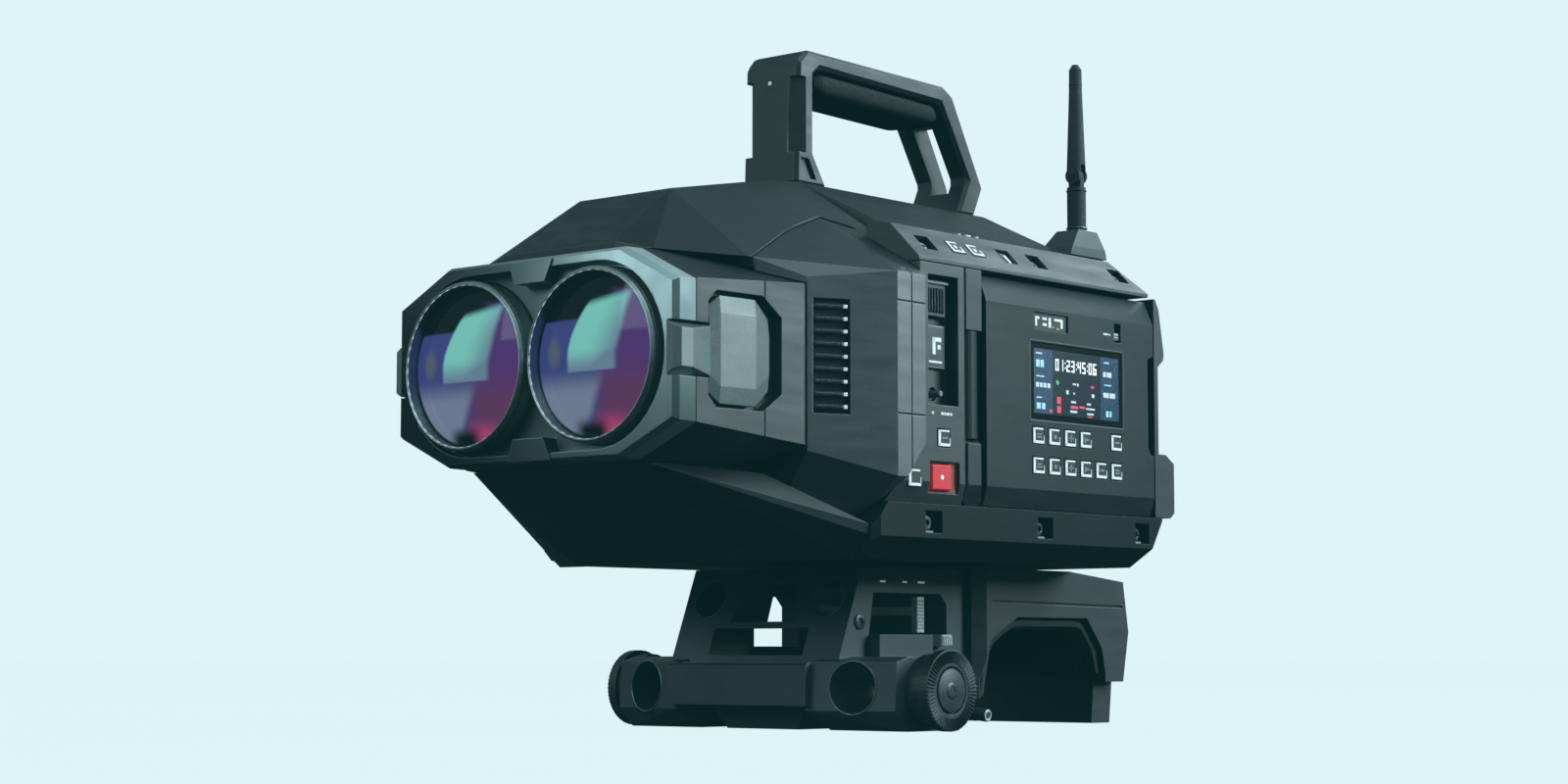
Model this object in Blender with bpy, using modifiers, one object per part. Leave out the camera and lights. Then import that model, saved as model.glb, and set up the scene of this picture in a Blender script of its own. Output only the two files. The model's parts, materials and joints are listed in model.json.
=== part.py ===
"""Twin-lens cinema camera on a rod baseplate with a shoulder pad.

All sizes below are millimetres in the lens frame: X to the operator's left from the plane of
symmetry, Y back from the lens rims, Z up from the axis of the 19 mm rods. One empty carries
every piece, turns millimetres into metres and sets the finished rig on the ground.
"""

import math

import bmesh
import bpy
from mathutils import Matrix, Vector

MM = 0.001
GAP = 0.3
ROUND = 32
FINE_ROUND = 44

# Whole rig
LENGTH = 304.0
GROUND = -16.0

# Lens block
LENS_X = 32.0
LENS_Z = 115.7
RIM_RADIUS = 30.1
BARREL_RADIUS = 30.9
BARREL_BORE = 31.4
BARREL_LENGTH = 58.0
GLASS_RADIUS = 28.9
GLASS_APEX = 1.6
GLASS_EDGE = 4.8
GLASS_BACK = 14.0
BEZEL_FRONT = 3.7
BEZEL_FLOOR = 9.0
BEZEL_BACK = 14.0
POCKET_RADIUS = 33.0
HOOK_Z = 115.9
HOOK_REACH = 9.2
HOUSING_BACK = 68.7

# Cowl and body
COWL_FRONT = 69.0
COWL_BACK = 117.7
COWL_LIP = 144.0
BODY_FRONT = 118.0
BODY_BACK = 271.0
BODY_X = 85.0
FRAME_X = 72.5
BODY_LOW = 47.0
TRAY_TOP = 67.0
PANEL_TOP = 155.8
DECK_Z = 156.3
TRAY_FRONT = 92.0
FAN_Y = 160.0
REAR_END = 276.0

# Top
RAIL_INNER = 60.0
RAIL_TOP = 171.3
SPINE_TOP = 193.5
HOOD_BACK = 128.7
HANDLE_X = 14.0
POST_CHAMFER = 5.0
POST_CHAMFER_Z = (206.5, 236.5)
POST_FACE = 132.4
FOOT_SLOT_DEPTH = 1.5
ANTENNA_X = 52.0
ANTENNA_Y = 265.0
ANTENNA_PIVOT_Z = 209.4
ANTENNA_TIP_Z = 256.0

# Monitor and controls
HINGE_X = 79.5
HINGE_Y = 150.8
KNUCKLE_RADIUS = 5.4
PIN_RADIUS = 2.0
PIN_BORE = 2.09
MONITOR_FRONT = 158.3
MONITOR_IN = 73.3
MONITOR_TOP = 154.8
SCREEN_Y = (188.7, 246.1)
SCREEN_Z = (104.4, 129.4)
BUTTON_SIZE = (7.4, 6.2)
BUTTON_PITCH = 10.5
BUTTON_Y = 191.0
BUTTON_ROWS = ((95.8, (0, 1, 2, 3, 5)), (84.3, (0, 1, 2, 3, 4, 5)))
BUTTON_PROUD = 0.3
RECORD_AT = (130.5, 76.9)
RECORD_SIZE = (11.5, 9.3)
RECORD_POCKET_Y = (-6.8, 11.0)
RECORD_POCKET_HALF_Z = 5.8
KEY_GAP = 0.4
ICON_WINDOW_Y = (189.0, 211.5)
ICON_WINDOW_Z = (136.8, 143.4)
BAND_TOP = 75.0
BAND_IN = 2.1
MENU_AT = (132.0, 91.4)
TOGGLE_AT = (133.0, 108.0)
TOP_BUTTON_Y = (148.8, 161.0)
RAIL_SLOPE_MID = (77.8, 164.5)
RAIL_POCKET_Y = (130.9, 181.0, 200.6, 256.5)
TRAY_POCKET_Y = (126.0, 195.4, 261.5)

# Base
BASE_X = 42.5
ROD15_X = 30.0
ROD15_Z = 33.8
ROD15_BORE = 7.6
ROD19_X = 52.4
ROD19_BORE = 9.6
BLOCK_X = 70.0
ROSETTE_RADIUS = 15.0
ROSETTE_FACE = 81.0
ROSETTE_Y = 141.0
ROSETTE_Z = -1.0
LEVER_Y = 165.0
PAD_X = 49.0
PAD_FRONT = 200.0


# ---------------------------------------------------------------- scene and materials

def clear_scene():
    for obj in list(bpy.data.objects):
        bpy.data.objects.remove(obj, do_unlink=True)
    for group in list(bpy.data.collections):
        bpy.data.collections.remove(group)


def new_collection(name, helper=False):
    group = bpy.data.collections.new(name)
    group.hide_render = helper
    bpy.context.scene.collection.children.link(group)
    return group


clear_scene()
PARTS = new_collection("cinema_camera_rig")
CUTTERS = new_collection("cutters", helper=True)
RIG = bpy.data.objects.new("rig", None)
RIG.location = Vector((0.0, -LENGTH / 2, -GROUND)) * MM
PARTS.objects.link(RIG)


def material(name, colour, roughness, metallic=0.0):
    stuff = bpy.data.materials.new(name)
    stuff.use_nodes = True
    shader = stuff.node_tree.nodes["Principled BSDF"]
    shader.inputs["Base Color"].default_value = (*colour, 1.0)
    shader.inputs["Roughness"].default_value = roughness
    shader.inputs["Metallic"].default_value = metallic
    stuff.diffuse_color = (*colour, 1.0)
    return stuff


SHELL = material("slate_shell", (0.035, 0.05, 0.052), 0.45, 0.25)
METAL = material("black_anodised", (0.02, 0.028, 0.03), 0.38, 0.8)
GREY = material("grey_clip", (0.16, 0.19, 0.19), 0.35, 0.4)
RUBBER = material("rubber", (0.012, 0.015, 0.016), 0.8)
GLASS = material("coated_glass", (0.08, 0.1, 0.22), 0.03)
SCREEN = material("screen_glass", (0.01, 0.02, 0.05), 0.08)
KEY = material("key_plastic", (0.02, 0.022, 0.025), 0.5)
RED = material("record_red", (0.7, 0.01, 0.02), 0.4)
WHITE = material("lever_white", (0.6, 0.64, 0.63), 0.35)
BOARD = material("circuit_board", (0.01, 0.09, 0.04), 0.5)
ALLOY = material("heat_sink_alloy", (0.6, 0.6, 0.6), 0.35, 1.0)


# ---------------------------------------------------------------- shapes, in millimetres

def box(x, y, z):
    """A box between two values on each axis."""
    bm = bmesh.new()
    bmesh.ops.create_cube(bm, size=1.0)
    low = Vector((min(x), min(y), min(z)))
    high = Vector((max(x), max(y), max(z)))
    bmesh.ops.scale(bm, verts=bm.verts, vec=high - low)
    bmesh.ops.translate(bm, verts=bm.verts, vec=(low + high) / 2)
    return bm


def rod(start, end, radius, end_radius=None, sides=ROUND):
    """A round bar or cone from one point to another."""
    start = Vector(start)
    along = Vector(end) - start
    bm = bmesh.new()
    bmesh.ops.create_cone(
        bm,
        cap_ends=True,
        segments=sides,
        radius1=radius,
        radius2=radius if end_radius is None else end_radius,
        depth=along.length,
    )
    turn = Vector((0, 0, 1)).rotation_difference(along).to_matrix()
    bmesh.ops.rotate(bm, verts=bm.verts, matrix=turn)
    bmesh.ops.translate(bm, verts=bm.verts, vec=start + along / 2)
    return bm


def hull(points):
    """The flat-sided solid that wraps a set of points."""
    bm = bmesh.new()
    for point in points:
        bm.verts.new(point)
    wrapped = bmesh.ops.convex_hull(bm, input=bm.verts)
    inside = {v for v in wrapped["geom_interior"] + wrapped["geom_unused"] if isinstance(v, bmesh.types.BMVert)}
    bmesh.ops.delete(bm, geom=list(inside), context="VERTS")
    bmesh.ops.dissolve_limit(bm, angle_limit=math.radians(0.5), verts=bm.verts, edges=bm.edges)
    return bm


def mirrored(points):
    """The points with their mirror images across the plane of symmetry."""
    return [(side * x, y, z) for x, y, z in points for side in (1, -1)]


def grown(points, by=GAP):
    """The points moved outward from their centre, for a cutter that leaves a gap."""
    middle = sum((Vector(p) for p in points), Vector()) / len(points)
    moved = []
    for point in points:
        away = Vector(point) - middle
        moved.append(Vector(point) + Vector([math.copysign(by, value) for value in away]))
    return moved


def outline(loops, plane, low, high):
    """A flat outline, with holes after its first loop, given thickness along the third axis."""
    curve = bpy.data.curves.new("outline", "CURVE")
    curve.dimensions = "2D"
    curve.fill_mode = "BOTH"
    curve.extrude = (high - low) / 2
    for loop in loops:
        spline = curve.splines.new("POLY")
        spline.points.add(len(loop) - 1)
        for point, (u, v) in zip(spline.points, loop):
            point.co = (u, v, 0.0, 1.0)
        spline.use_cyclic_u = True
    holder = bpy.data.objects.new("outline", curve)
    CUTTERS.objects.link(holder)
    bpy.context.view_layer.update()
    mesh = bpy.data.meshes.new_from_object(holder.evaluated_get(bpy.context.evaluated_depsgraph_get()))
    bpy.data.objects.remove(holder)
    bpy.data.curves.remove(curve)
    bm = bmesh.new()
    bm.from_mesh(mesh)
    bpy.data.meshes.remove(mesh)
    bmesh.ops.remove_doubles(bm, verts=bm.verts, dist=0.001)
    bmesh.ops.dissolve_limit(bm, angle_limit=math.radians(0.5), verts=bm.verts, edges=bm.edges)
    middle = (high + low) / 2
    axes = {
        "YZ": Matrix(((0, 0, 1, middle), (1, 0, 0, 0), (0, 1, 0, 0), (0, 0, 0, 1))),
        "XZ": Matrix(((1, 0, 0, 0), (0, 0, -1, middle), (0, 1, 0, 0), (0, 0, 0, 1))),
        "XY": Matrix.Translation((0, 0, middle)),
    }
    bmesh.ops.transform(bm, matrix=axes[plane], verts=bm.verts)
    return bm


def place(name, shape, stuff, pivot=(0, 0, 0), turn=0.0, axis="Z", group=None):
    """An object whose origin is at pivot, turned about one axis through it."""
    bmesh.ops.translate(shape, verts=shape.verts, vec=-Vector(pivot))
    bmesh.ops.scale(shape, verts=shape.verts, vec=(MM, MM, MM))
    bmesh.ops.recalc_face_normals(shape, faces=shape.faces)
    mesh = bpy.data.meshes.new(name)
    shape.to_mesh(mesh)
    shape.free()
    obj = bpy.data.objects.new(name, mesh)
    obj.parent = RIG
    obj.location = Vector(pivot) * MM
    obj.rotation_euler = Matrix.Rotation(turn, 3, axis).to_euler()
    if stuff:
        mesh.materials.append(stuff)
    (group or PARTS).objects.link(obj)
    return obj


def boolean(obj, shape, operation, **placing):
    helper = place(obj.name + "_" + operation.lower(), shape, None, group=CUTTERS, **placing)
    helper.hide_render = True
    helper.display_type = "WIRE"
    modifier = obj.modifiers.new(operation.title(), "BOOLEAN")
    modifier.operation = operation
    modifier.object = helper
    return obj


def cut(obj, *shapes, **placing):
    for shape in shapes:
        boolean(obj, shape, "DIFFERENCE", **placing)
    return obj


def fuse(obj, *shapes, **placing):
    for shape in shapes:
        boolean(obj, shape, "UNION", **placing)
    return obj


def soften(obj, width, segments=1, angle=32.0):
    modifier = obj.modifiers.new("Bevel", "BEVEL")
    modifier.width = width * MM
    modifier.segments = segments
    modifier.limit_method = "ANGLE"
    modifier.angle_limit = math.radians(angle)
    modifier.use_clamp_overlap = True
    return obj


def smooth(obj, angle=30.0):
    obj.data.shade_smooth()
    obj.data.set_sharp_from_angle(angle=math.radians(angle))
    return obj


def turned(name, profile, stuff, at):
    """A body turned about the lens axis. The profile is (radius, distance back) down its outside."""
    mesh = bpy.data.meshes.new(name)
    bm = bmesh.new()
    ring = [bm.verts.new((radius * MM, 0, -back * MM)) for radius, back in profile]
    for first, second in zip(ring, ring[1:]):
        bm.edges.new((first, second))
    if profile[0][0] > 0:
        bm.edges.new((ring[-1], ring[0]))
    bm.to_mesh(mesh)
    bm.free()
    obj = bpy.data.objects.new(name, mesh)
    obj.parent = RIG
    obj.location = Vector(at) * MM
    obj.rotation_euler = (math.radians(90), 0, 0)
    mesh.materials.append(stuff)
    PARTS.objects.link(obj)
    screw = obj.modifiers.new("Screw", "SCREW")
    screw.steps = FINE_ROUND
    screw.render_steps = FINE_ROUND
    screw.use_merge_vertices = True
    screw.merge_threshold = 0.00001
    return obj


def circle(radius, x, y, z, sides=FINE_ROUND):
    """Points of a circle that faces along Y."""
    steps = [2 * math.pi * i / sides for i in range(sides)]
    return [(x + radius * math.cos(a), y, z + radius * math.sin(a)) for a in steps]


def stadium(radius, front, back):
    """The twin-lens outline: two half circles joined by straight lines."""
    points = []
    for y in (front, back):
        for x in (LENS_X, -LENS_X):
            points += circle(radius, x, y, LENS_Z)
    return hull(points)


def octagon(y, top, side, z_top, z_shoulder, z_hip, z_low, low=None):
    """Half of an eight-sided section that faces along Y."""
    return [(top, y, z_top), (side, y, z_shoulder), (side, y, z_hip), (low or top, y, z_low)]


# ---------------------------------------------------------------- outer forms that neighbours share

HOUSING_FORM = mirrored(
    octagon(BEZEL_BACK + GAP, 44, 70, 153.0, 140.5, 91.0, 79.0)
    + octagon(48, 46, 70.8, 153.4, 142.5, 88.0, 78.0)
    + octagon(HOUSING_BACK, 50, 72.2, 153.0, 143.5, 86.0, 75.0)
)

COWL_FORM = mirrored(
    [
        (62, 52, 152.2),
        (52, 81, 165.0),
        (44, 107, 175.4),
        (44, COWL_BACK, 176.0),
        (80, 112, 155.5),
        (80, COWL_BACK, 156.0),
        (72.8, COWL_FRONT, 146.0),
        (72.8, COWL_FRONT, 84.0),
        (60, COWL_FRONT, 63.5),
        (75, 97, 60.5),
        (88, 101.5, 150.0),
        (88, 101.5, 76.0),
        (88, COWL_BACK, 150.0),
        (88, COWL_BACK, 76.0),
        (75, COWL_BACK, 60.5),
    ]
)

HOOD_FORM = mirrored(
    [
        (27.8, 17.7, 157.3),
        (27.8, 17.7, 153.6),
        (26.6, 31.2, 167.1),
        (24.5, 37, 171.4),
        (23.4, 51, 180.9),
        (24.0, 104, 190.5),
        (18.0, HOOD_BACK, SPINE_TOP),
        (31, 55, 166.0),
        (36, 98, 178.3),
        (36, 113, 181.3),
        (36, HOOD_BACK, 181.5),
        (44, 107, 175.8),
        (50, HOOD_BACK, 173.6),
        (58, HOOD_BACK, 170.0),
        (58, HOOD_BACK, DECK_Z),
        (62, 49.5, 152.2),
        (44, 20, 153.6),
    ]
)

NOSE_FORM = mirrored(
    [
        (44, 17, 78.8),
        (46, 27, 76.0),
        (45, 50, 57.4),
        (45, 73, 45.7),
        (62, 64, 63.4),
        (82, TRAY_FRONT - GAP, 58.8),
        (82, TRAY_FRONT - GAP, 55.0),
        (74, TRAY_FRONT - GAP, 46.2),
        (50, 40, 78.8),
        (60, 60, 76.0),
    ]
)


def diagonal(y, drop=0.0):
    """Height of the cowl's slanting lower rear edge, or of a neighbour that far below it."""
    return 60.5 + (y - 93.5) * 1.15 - drop


EDGE_DROP = 0.6


# ---------------------------------------------------------------- lens block

def front_bezel():
    obj = place(
        "front_bezel",
        hull(
            mirrored(
                octagon(BEZEL_FRONT, 43.4, 68.6, 151.5, 138.7, 92.3, 80.7)
                + octagon(BEZEL_FRONT + 2.5, 44.2, 69.8, 152.7, 139.7, 91.3, 79.5)
                + octagon(BEZEL_BACK, 44.2, 70.0, 152.9, 140.0, 91.0, 79.3)
            )
        ),
        SHELL,
    )
    cut(obj, stadium(POCKET_RADIUS, -5, BEZEL_FLOOR))
    for x in (LENS_X, -LENS_X):
        cut(obj, rod((x, 5, LENS_Z), (x, 20, LENS_Z), BARREL_BORE, sides=FINE_ROUND))
    for side in (1, -1):
        cut(obj, box((side * 66.4, side * 80), (0, 20), (HOOK_Z - HOOK_REACH - GAP, HOOK_Z + HOOK_REACH + GAP)))
    for direction in (1, -1):
        wide, narrow = direction * 35.6, direction * 27.6
        tab = [(11, y, LENS_Z + wide) for y in (3.0, 9.6)] + [(7.6, y, LENS_Z + narrow) for y in (2.4, 9.6)]
        fuse(obj, hull(mirrored(tab)))


def lens_barrels():
    profile = (
        (RIM_RADIUS, 0),
        (BARREL_RADIUS, 1.2),
        (BARREL_RADIUS, BARREL_LENGTH),
        (21.0, BARREL_LENGTH),
        (21.0, 34.0),
        (26.2, GLASS_BACK + GAP),
        (GLASS_RADIUS + GAP, GLASS_BACK + GAP),
        (GLASS_RADIUS + GAP, 0.7),
        (29.6, 0),
    )
    for name, x in (("lens_barrel_left", LENS_X), ("lens_barrel_right", -LENS_X)):
        smooth(turned(name, profile, METAL, (x, 0, LENS_Z)))


def front_glasses():
    sag = GLASS_EDGE - GLASS_APEX
    curve_radius = (GLASS_RADIUS**2 + sag**2) / (2 * sag)
    steps = 7
    dome = []
    for i in range(steps + 1):
        radius = GLASS_RADIUS * i / steps
        back = GLASS_APEX + curve_radius - math.sqrt(curve_radius**2 - radius**2)
        dome.append((radius, back))
    profile = dome + [(GLASS_RADIUS, GLASS_BACK), (0.0, GLASS_BACK)]
    for name, x in (("front_glass_left", LENS_X), ("front_glass_right", -LENS_X)):
        smooth(turned(name, profile, GLASS, (x, 0, LENS_Z)))


def sensor_board():
    obj = place("sensor_board", box((-50, 50), (60.3, 62.3), (95, 136.4)), BOARD)
    for x in (LENS_X, -LENS_X):
        fuse(obj, box((x - 15, x + 15), (58.6, 60.8), (LENS_Z - 13, LENS_Z + 13)))


def barrel_housing():
    obj = place("barrel_housing", hull(HOUSING_FORM), SHELL)
    cut(obj, stadium(BARREL_BORE + 0.1, 5, 80))
    recess = ((20, 133), (24, 137), (47, 137), (56.5, 130), (56.5, 103), (47, 96.5), (24, 96.5), (20, 100.5))
    for side in (1, -1):
        low, high = sorted((side * 66.7, side * 80))
        notch = (HOOK_Z - HOOK_REACH - GAP, HOOK_Z + HOOK_REACH + GAP)
        cut(obj, outline([recess], "YZ", low, high), box((low, high), (10, 21), notch))


def clip_covers():
    for name, side in (("clip_cover_left", 1), ("clip_cover_right", -1)):
        panel = []
        for y, face, low, high in (
            (21.5, 68.6, 101.8, 131.6),
            (26.0, 69.9, 98.0, 135.4),
            (44.0, 70.1, 98.0, 135.4),
            (52.3, 68.8, 104.0, 129.4),
        ):
            panel += [(side * x, y, z) for x in (67.1, face) for z in (low, high)]
            panel += [(side * (face + 0.7), y, z) for z in (low + 6, high - 6)]
        hook = []
        for y, face, slope in ((2.4, 69.7, 1.6), (4.8, 72.0, 2.6), (10.5, 72.0, 2.6), (23.0, 69.0, 0.6)):
            hook += [(side * 67.1, y, HOOK_Z + z) for z in (-HOOK_REACH, HOOK_REACH)]
            hook += [(side * face, y, HOOK_Z + z) for z in (slope - HOOK_REACH, HOOK_REACH - slope)]
        obj = place(name, hull(panel), GREY, pivot=(side * 68.3, 52.0, HOOK_Z))
        fuse(obj, hull(hook))


def vent_grilles():
    """A comb of horizontal bars on each diagonal face of the cowl, and its turned placing."""
    count = 9
    pitch = 4.5
    bar = 1.7
    height = (count - 1) * pitch + bar
    comb = [(-2.4, -height / 2 - 0.8), (-2.4, height / 2 + 0.8), (-1.2, height / 2 + 0.8)]
    for i in range(count):
        top = height / 2 - i * pitch
        comb += [(-1.2, top), (0.0, top), (0.0, top - bar), (-1.2, top - bar)]
    comb.append((-1.2, -height / 2 - 0.8))
    for name, side in (("vent_grille_left", 1), ("vent_grille_right", -1)):
        loop = [(side * x, z) for x, z in comb]
        shape = outline([loop], "XZ", -7.0, 7.0)
        obj = place(name, shape, METAL, turn=side * GRILLE_TURN)
        obj.location = Vector((side * GRILLE_AT[0], GRILLE_AT[1], GRILLE_AT[2])) * MM


GRILLE_TURN = -math.atan2(15.2, 32.5)
GRILLE_AT = (76.4, 77.9, 118.0)


# ---------------------------------------------------------------- cowl, hood and nose

def front_cowl():
    obj = place("front_cowl", hull(COWL_FORM), SHELL)
    cut(obj, hull(grown(HOUSING_FORM)), box((-100, 100), (30, COWL_FRONT), (40, COWL_LIP)))
    cut(obj, box((-62, 62), (45, 125), (78, 149)))
    low_rear = [(COWL_BACK + 2, diagonal(COWL_BACK + 2)), (85, diagonal(85)), (85, 30), (COWL_BACK + 2, 30)]
    cut(obj, outline([low_rear], "YZ", -100, 100))
    for side in (1, -1):
        for x, half_y, half_z in (((-2.7, 6), 7.3, 20.6), ((-20, 2), 5.0, 17.0)):
            shape = box([side * value for value in x], (-half_y, half_y), (-half_z, half_z))
            cut(obj, shape, turn=side * GRILLE_TURN)
            helper = obj.modifiers[-1].object
            helper.location = Vector((side * GRILLE_AT[0], GRILLE_AT[1], GRILLE_AT[2])) * MM


def hood_cover():
    obj = place("hood_cover", hull(HOOD_FORM), SHELL)
    cut(obj, hull(grown(HOUSING_FORM)), hull(grown(COWL_FORM)))
    low_hollow = [(19, 40, 150), (24, 60, 150), (14, 120, 150)]
    high_hollow = [(19, 42, 168), (24, 60, 162), (19, 54, 175), (14, 120, 187)]
    hollow = mirrored(low_hollow + high_hollow)
    cut(obj, hull(hollow), box((-70, 70), (COWL_BACK, 130), (140, DECK_Z)))


def nose_tray():
    obj = place("nose_tray", hull(NOSE_FORM), SHELL)
    low_cowl = [point for point in COWL_FORM if point[1] >= COWL_FRONT and point[2] < 160]
    cut(obj, hull(grown(HOUSING_FORM)), hull(grown(low_cowl)))
    hollow = mirrored([(36, 45, 85), (36, 62, 53), (50, 86, 51), (56, 86, 85), (50, 60, 85)])
    cut(obj, hull(hollow))


# ---------------------------------------------------------------- body

def lower_band(side):
    """A cutter for the strip above the tray, which leans in towards the foot of the body."""
    outer = [(side * (BODY_X + 5), y, z) for y in (90, 280) for z in (BAND_TOP, TRAY_TOP)]
    top = [(side * BODY_X, y, BAND_TOP) for y in (90, 280)]
    foot = [(side * (BODY_X - BAND_IN), y, TRAY_TOP) for y in (90, 280)]
    return hull(outer + top + foot)


def chassis():
    obj = place("chassis", box((-FRAME_X, FRAME_X), (BODY_FRONT, BODY_BACK), (TRAY_TOP + GAP, 156.0)), METAL)
    cut(obj, box((-68, 68), (BODY_FRONT + 4, BODY_BACK + 5), (71, 152)))
    cut(obj, box((-55, 55), (BODY_FRONT - 5, BODY_FRONT + 5), (80, 146)))
    cut(obj, box((-80, -60), (189.4, 250.6), (89.4, 142.6)))


def control_panel():
    shape = [
        (BODY_FRONT + GAP, PANEL_TOP),
        (144.7, PANEL_TOP),
        (144.7, TRAY_TOP + GAP),
        (100.2, TRAY_TOP + GAP),
        (BODY_FRONT + GAP, diagonal(BODY_FRONT, EDGE_DROP)),
    ]
    obj = place("control_panel", outline([shape], "YZ", FRAME_X + GAP, BODY_X), SHELL)
    cut(obj, lower_band(1))
    cut(obj, box((79, 90), (123, 141), (103.5, 151.5)))
    record_y, record_z = RECORD_AT
    pocket_y = [record_y + value for value in RECORD_POCKET_Y]
    cut(obj, box((83.2, 90), pocket_y, (record_z - RECORD_POCKET_HALF_Z, record_z + RECORD_POCKET_HALF_Z)))
    half_y, half_z = [size / 2 + KEY_GAP for size in RECORD_SIZE]
    cut(obj, box((80, 90), (record_y - half_y, record_y + half_y), (record_z - half_z, record_z + half_z)))
    half_y, half_z = [size / 2 + KEY_GAP for size in BUTTON_SIZE]
    menu_y, menu_z = MENU_AT
    cut(obj, box((81.8, 90), (menu_y - half_y, menu_y + half_y), (menu_z - half_z, menu_z + half_z)))
    toggle_y, toggle_z = TOGGLE_AT
    cut(obj, rod((74.2, toggle_y, toggle_z), (90, toggle_y, toggle_z), 2.6, sides=16))


def side_key(name, y, z, size_y, size_z, stuff, top=BODY_X + BUTTON_PROUD, depth=2.4):
    shape = box((top - depth, top), (y - size_y / 2, y + size_y / 2), (z - size_z / 2, z + size_z / 2))
    return soften(place(name, shape, stuff, pivot=(top, y, z)), 0.4)


def panel_controls():
    side_key("record_button", *RECORD_AT, *RECORD_SIZE, RED, depth=3.6)
    side_key("menu_button", *MENU_AT, *BUTTON_SIZE, KEY)
    y, z = TOGGLE_AT
    stem = rod((75.8, y, z), (83.0, y, z), 1.5, 1.1, sides=16)
    obj = place("power_toggle", stem, GREY, pivot=(76.5, y, z))
    fuse(obj, rod((75.4, y, z), (77.6, y, z), 2.2, sides=16))


def right_cover():
    shape = [
        (BODY_FRONT + GAP, PANEL_TOP - 9),
        (BODY_FRONT + GAP, PANEL_TOP),
        (BODY_BACK, PANEL_TOP),
        (BODY_BACK, TRAY_TOP + GAP),
        (100.2, TRAY_TOP + GAP),
        (BODY_FRONT + GAP, diagonal(BODY_FRONT, EDGE_DROP)),
    ]
    obj = place("right_cover", outline([shape], "YZ", -BODY_X, -FRAME_X - GAP), SHELL)
    cut(obj, box((-90, -60), (189.4, 250.6), (89.4, 142.6)))
    cut(obj, box((-90, -81), (132, 176), (92, 140)), lower_band(-1))


def media_module():
    shape = box((-30, -BODY_X + 0.2), (190, 250), (90, 142))
    obj = soften(place("media_module", shape, METAL, pivot=(-BODY_X, 220, 116)), 0.8)
    cut(obj, box((-90, -79), (212, 228), (134, 146)))


def rear_panel():
    side = [
        (BODY_BACK + GAP, TRAY_TOP + GAP),
        (BODY_BACK + GAP, 156.0),
        (272.5, 156.0),
        (275.0, 152.0),
        (278.5, 134.0),
        (278.0, 131.5),
        (274.0, 128.5),
        (274.0, 93.0),
        (279.0, 93.0),
        (285.0, 89.5),
        (285.0, 69.5),
        (282.0, TRAY_TOP + GAP),
    ]
    obj = place("rear_panel", outline([side], "YZ", -BODY_X, BODY_X), SHELL)
    cut(obj, box((-40, 40), (274, 290), (94.5, 160)))


def battery_plate():
    obj = place("battery_plate", box((-38, 38), (274.3, 284), (96, 151)), METAL)
    wedge = [(-14, 284.2), (14, 284.2), (10, 278.5), (-10, 278.5)]
    cut(obj, outline([wedge], "XY", 106, 160))
    cut(obj, box((24, 33.5), (279, 290), (136, 145)))
    shape = box((24.5, 28.5), (279.6, 286.5), (136.5, 144.5))
    soften(place("battery_release", shape, RED, pivot=(26.5, 283, 140.5)), 0.5)


def bottom_tray():
    side = [
        (TRAY_FRONT, BODY_LOW + 2),
        (TRAY_FRONT, diagonal(TRAY_FRONT, EDGE_DROP)),
        (99.6, TRAY_TOP),
        (276, TRAY_TOP),
        (276, 66),
        (264, BODY_LOW),
        (98, BODY_LOW),
    ]
    obj = place("bottom_tray", outline([side], "YZ", -BODY_X, BODY_X), SHELL)
    for x in (1, -1):
        under = hull(
            [(x * a, y, z) for y in (80, 290) for a, z in ((86, 55.5), (76, 46.0), (90, 40), (90, 55.5))]
        )
        cut(obj, under)
        for y in TRAY_POCKET_Y:
            cut(obj, box((x * 80.5, x * 90), (y - 5.0, y + 5.0), (56.4, 64.5)))
    corners = [[(side * 90, 85), (side * 82.5, 91), (side * 90, 104)] for side in (1, -1)]
    for corner in corners:
        cut(obj, outline([corner], "XY", 30, 80))
    cut(obj, box((-66, 66), (110, 262), (51, 70)))
    cut(obj, box((-56, 56), (85, 120), (51, 75)))


def top_rails():
    section = [
        (84.6, DECK_Z),
        (84.6, 157.7),
        (71.0, RAIL_TOP),
        (RAIL_INNER, 173.6),
        (RAIL_INNER, DECK_Z),
    ]
    for name, side in (("top_rail_left", 1), ("top_rail_right", -1)):
        loop = [(side * x, z) for x, z in section]
        obj = place(name, outline([loop], "XZ", BODY_FRONT + GAP, 275), SHELL)
        tail = [(256, 180), (257, 174.5), (268, 158), (268, 140), (290, 140), (290, 180)]
        cut(obj, outline([tail], "YZ", -90, 90))
        for y in RAIL_POCKET_Y:
            cut_slope(obj, side, y, 4.3, 4.1, 3.0)
        if side > 0:
            for y in TOP_BUTTON_Y:
                cut_slope(obj, side, y, BUTTON_SIZE[0] / 2 + KEY_GAP, BUTTON_SIZE[1] / 2 + KEY_GAP, 3.2)


def on_slope(side, y):
    """Placing of a piece whose local X points out of the rail's slope at that station."""
    x, z = RAIL_SLOPE_MID
    return Vector((side * x, y, z)) * MM


def cut_slope(obj, side, y, half_y, half_z, depth):
    shape = box((-side * depth, side * 4.0), (-half_y, half_y), (-half_z, half_z))
    cut(obj, shape, turn=-side * math.radians(45), axis="Y")
    obj.modifiers[-1].object.location = on_slope(side, y)


def top_buttons():
    for number, y in enumerate(TOP_BUTTON_Y, 1):
        shape = box((-2.1, BUTTON_PROUD), (-BUTTON_SIZE[0] / 2, BUTTON_SIZE[0] / 2), (-3.1, 3.1))
        obj = place(f"top_button_{number}", shape, KEY, turn=-math.radians(45), axis="Y")
        obj.location = on_slope(1, y)
        soften(obj, 0.4)


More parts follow.
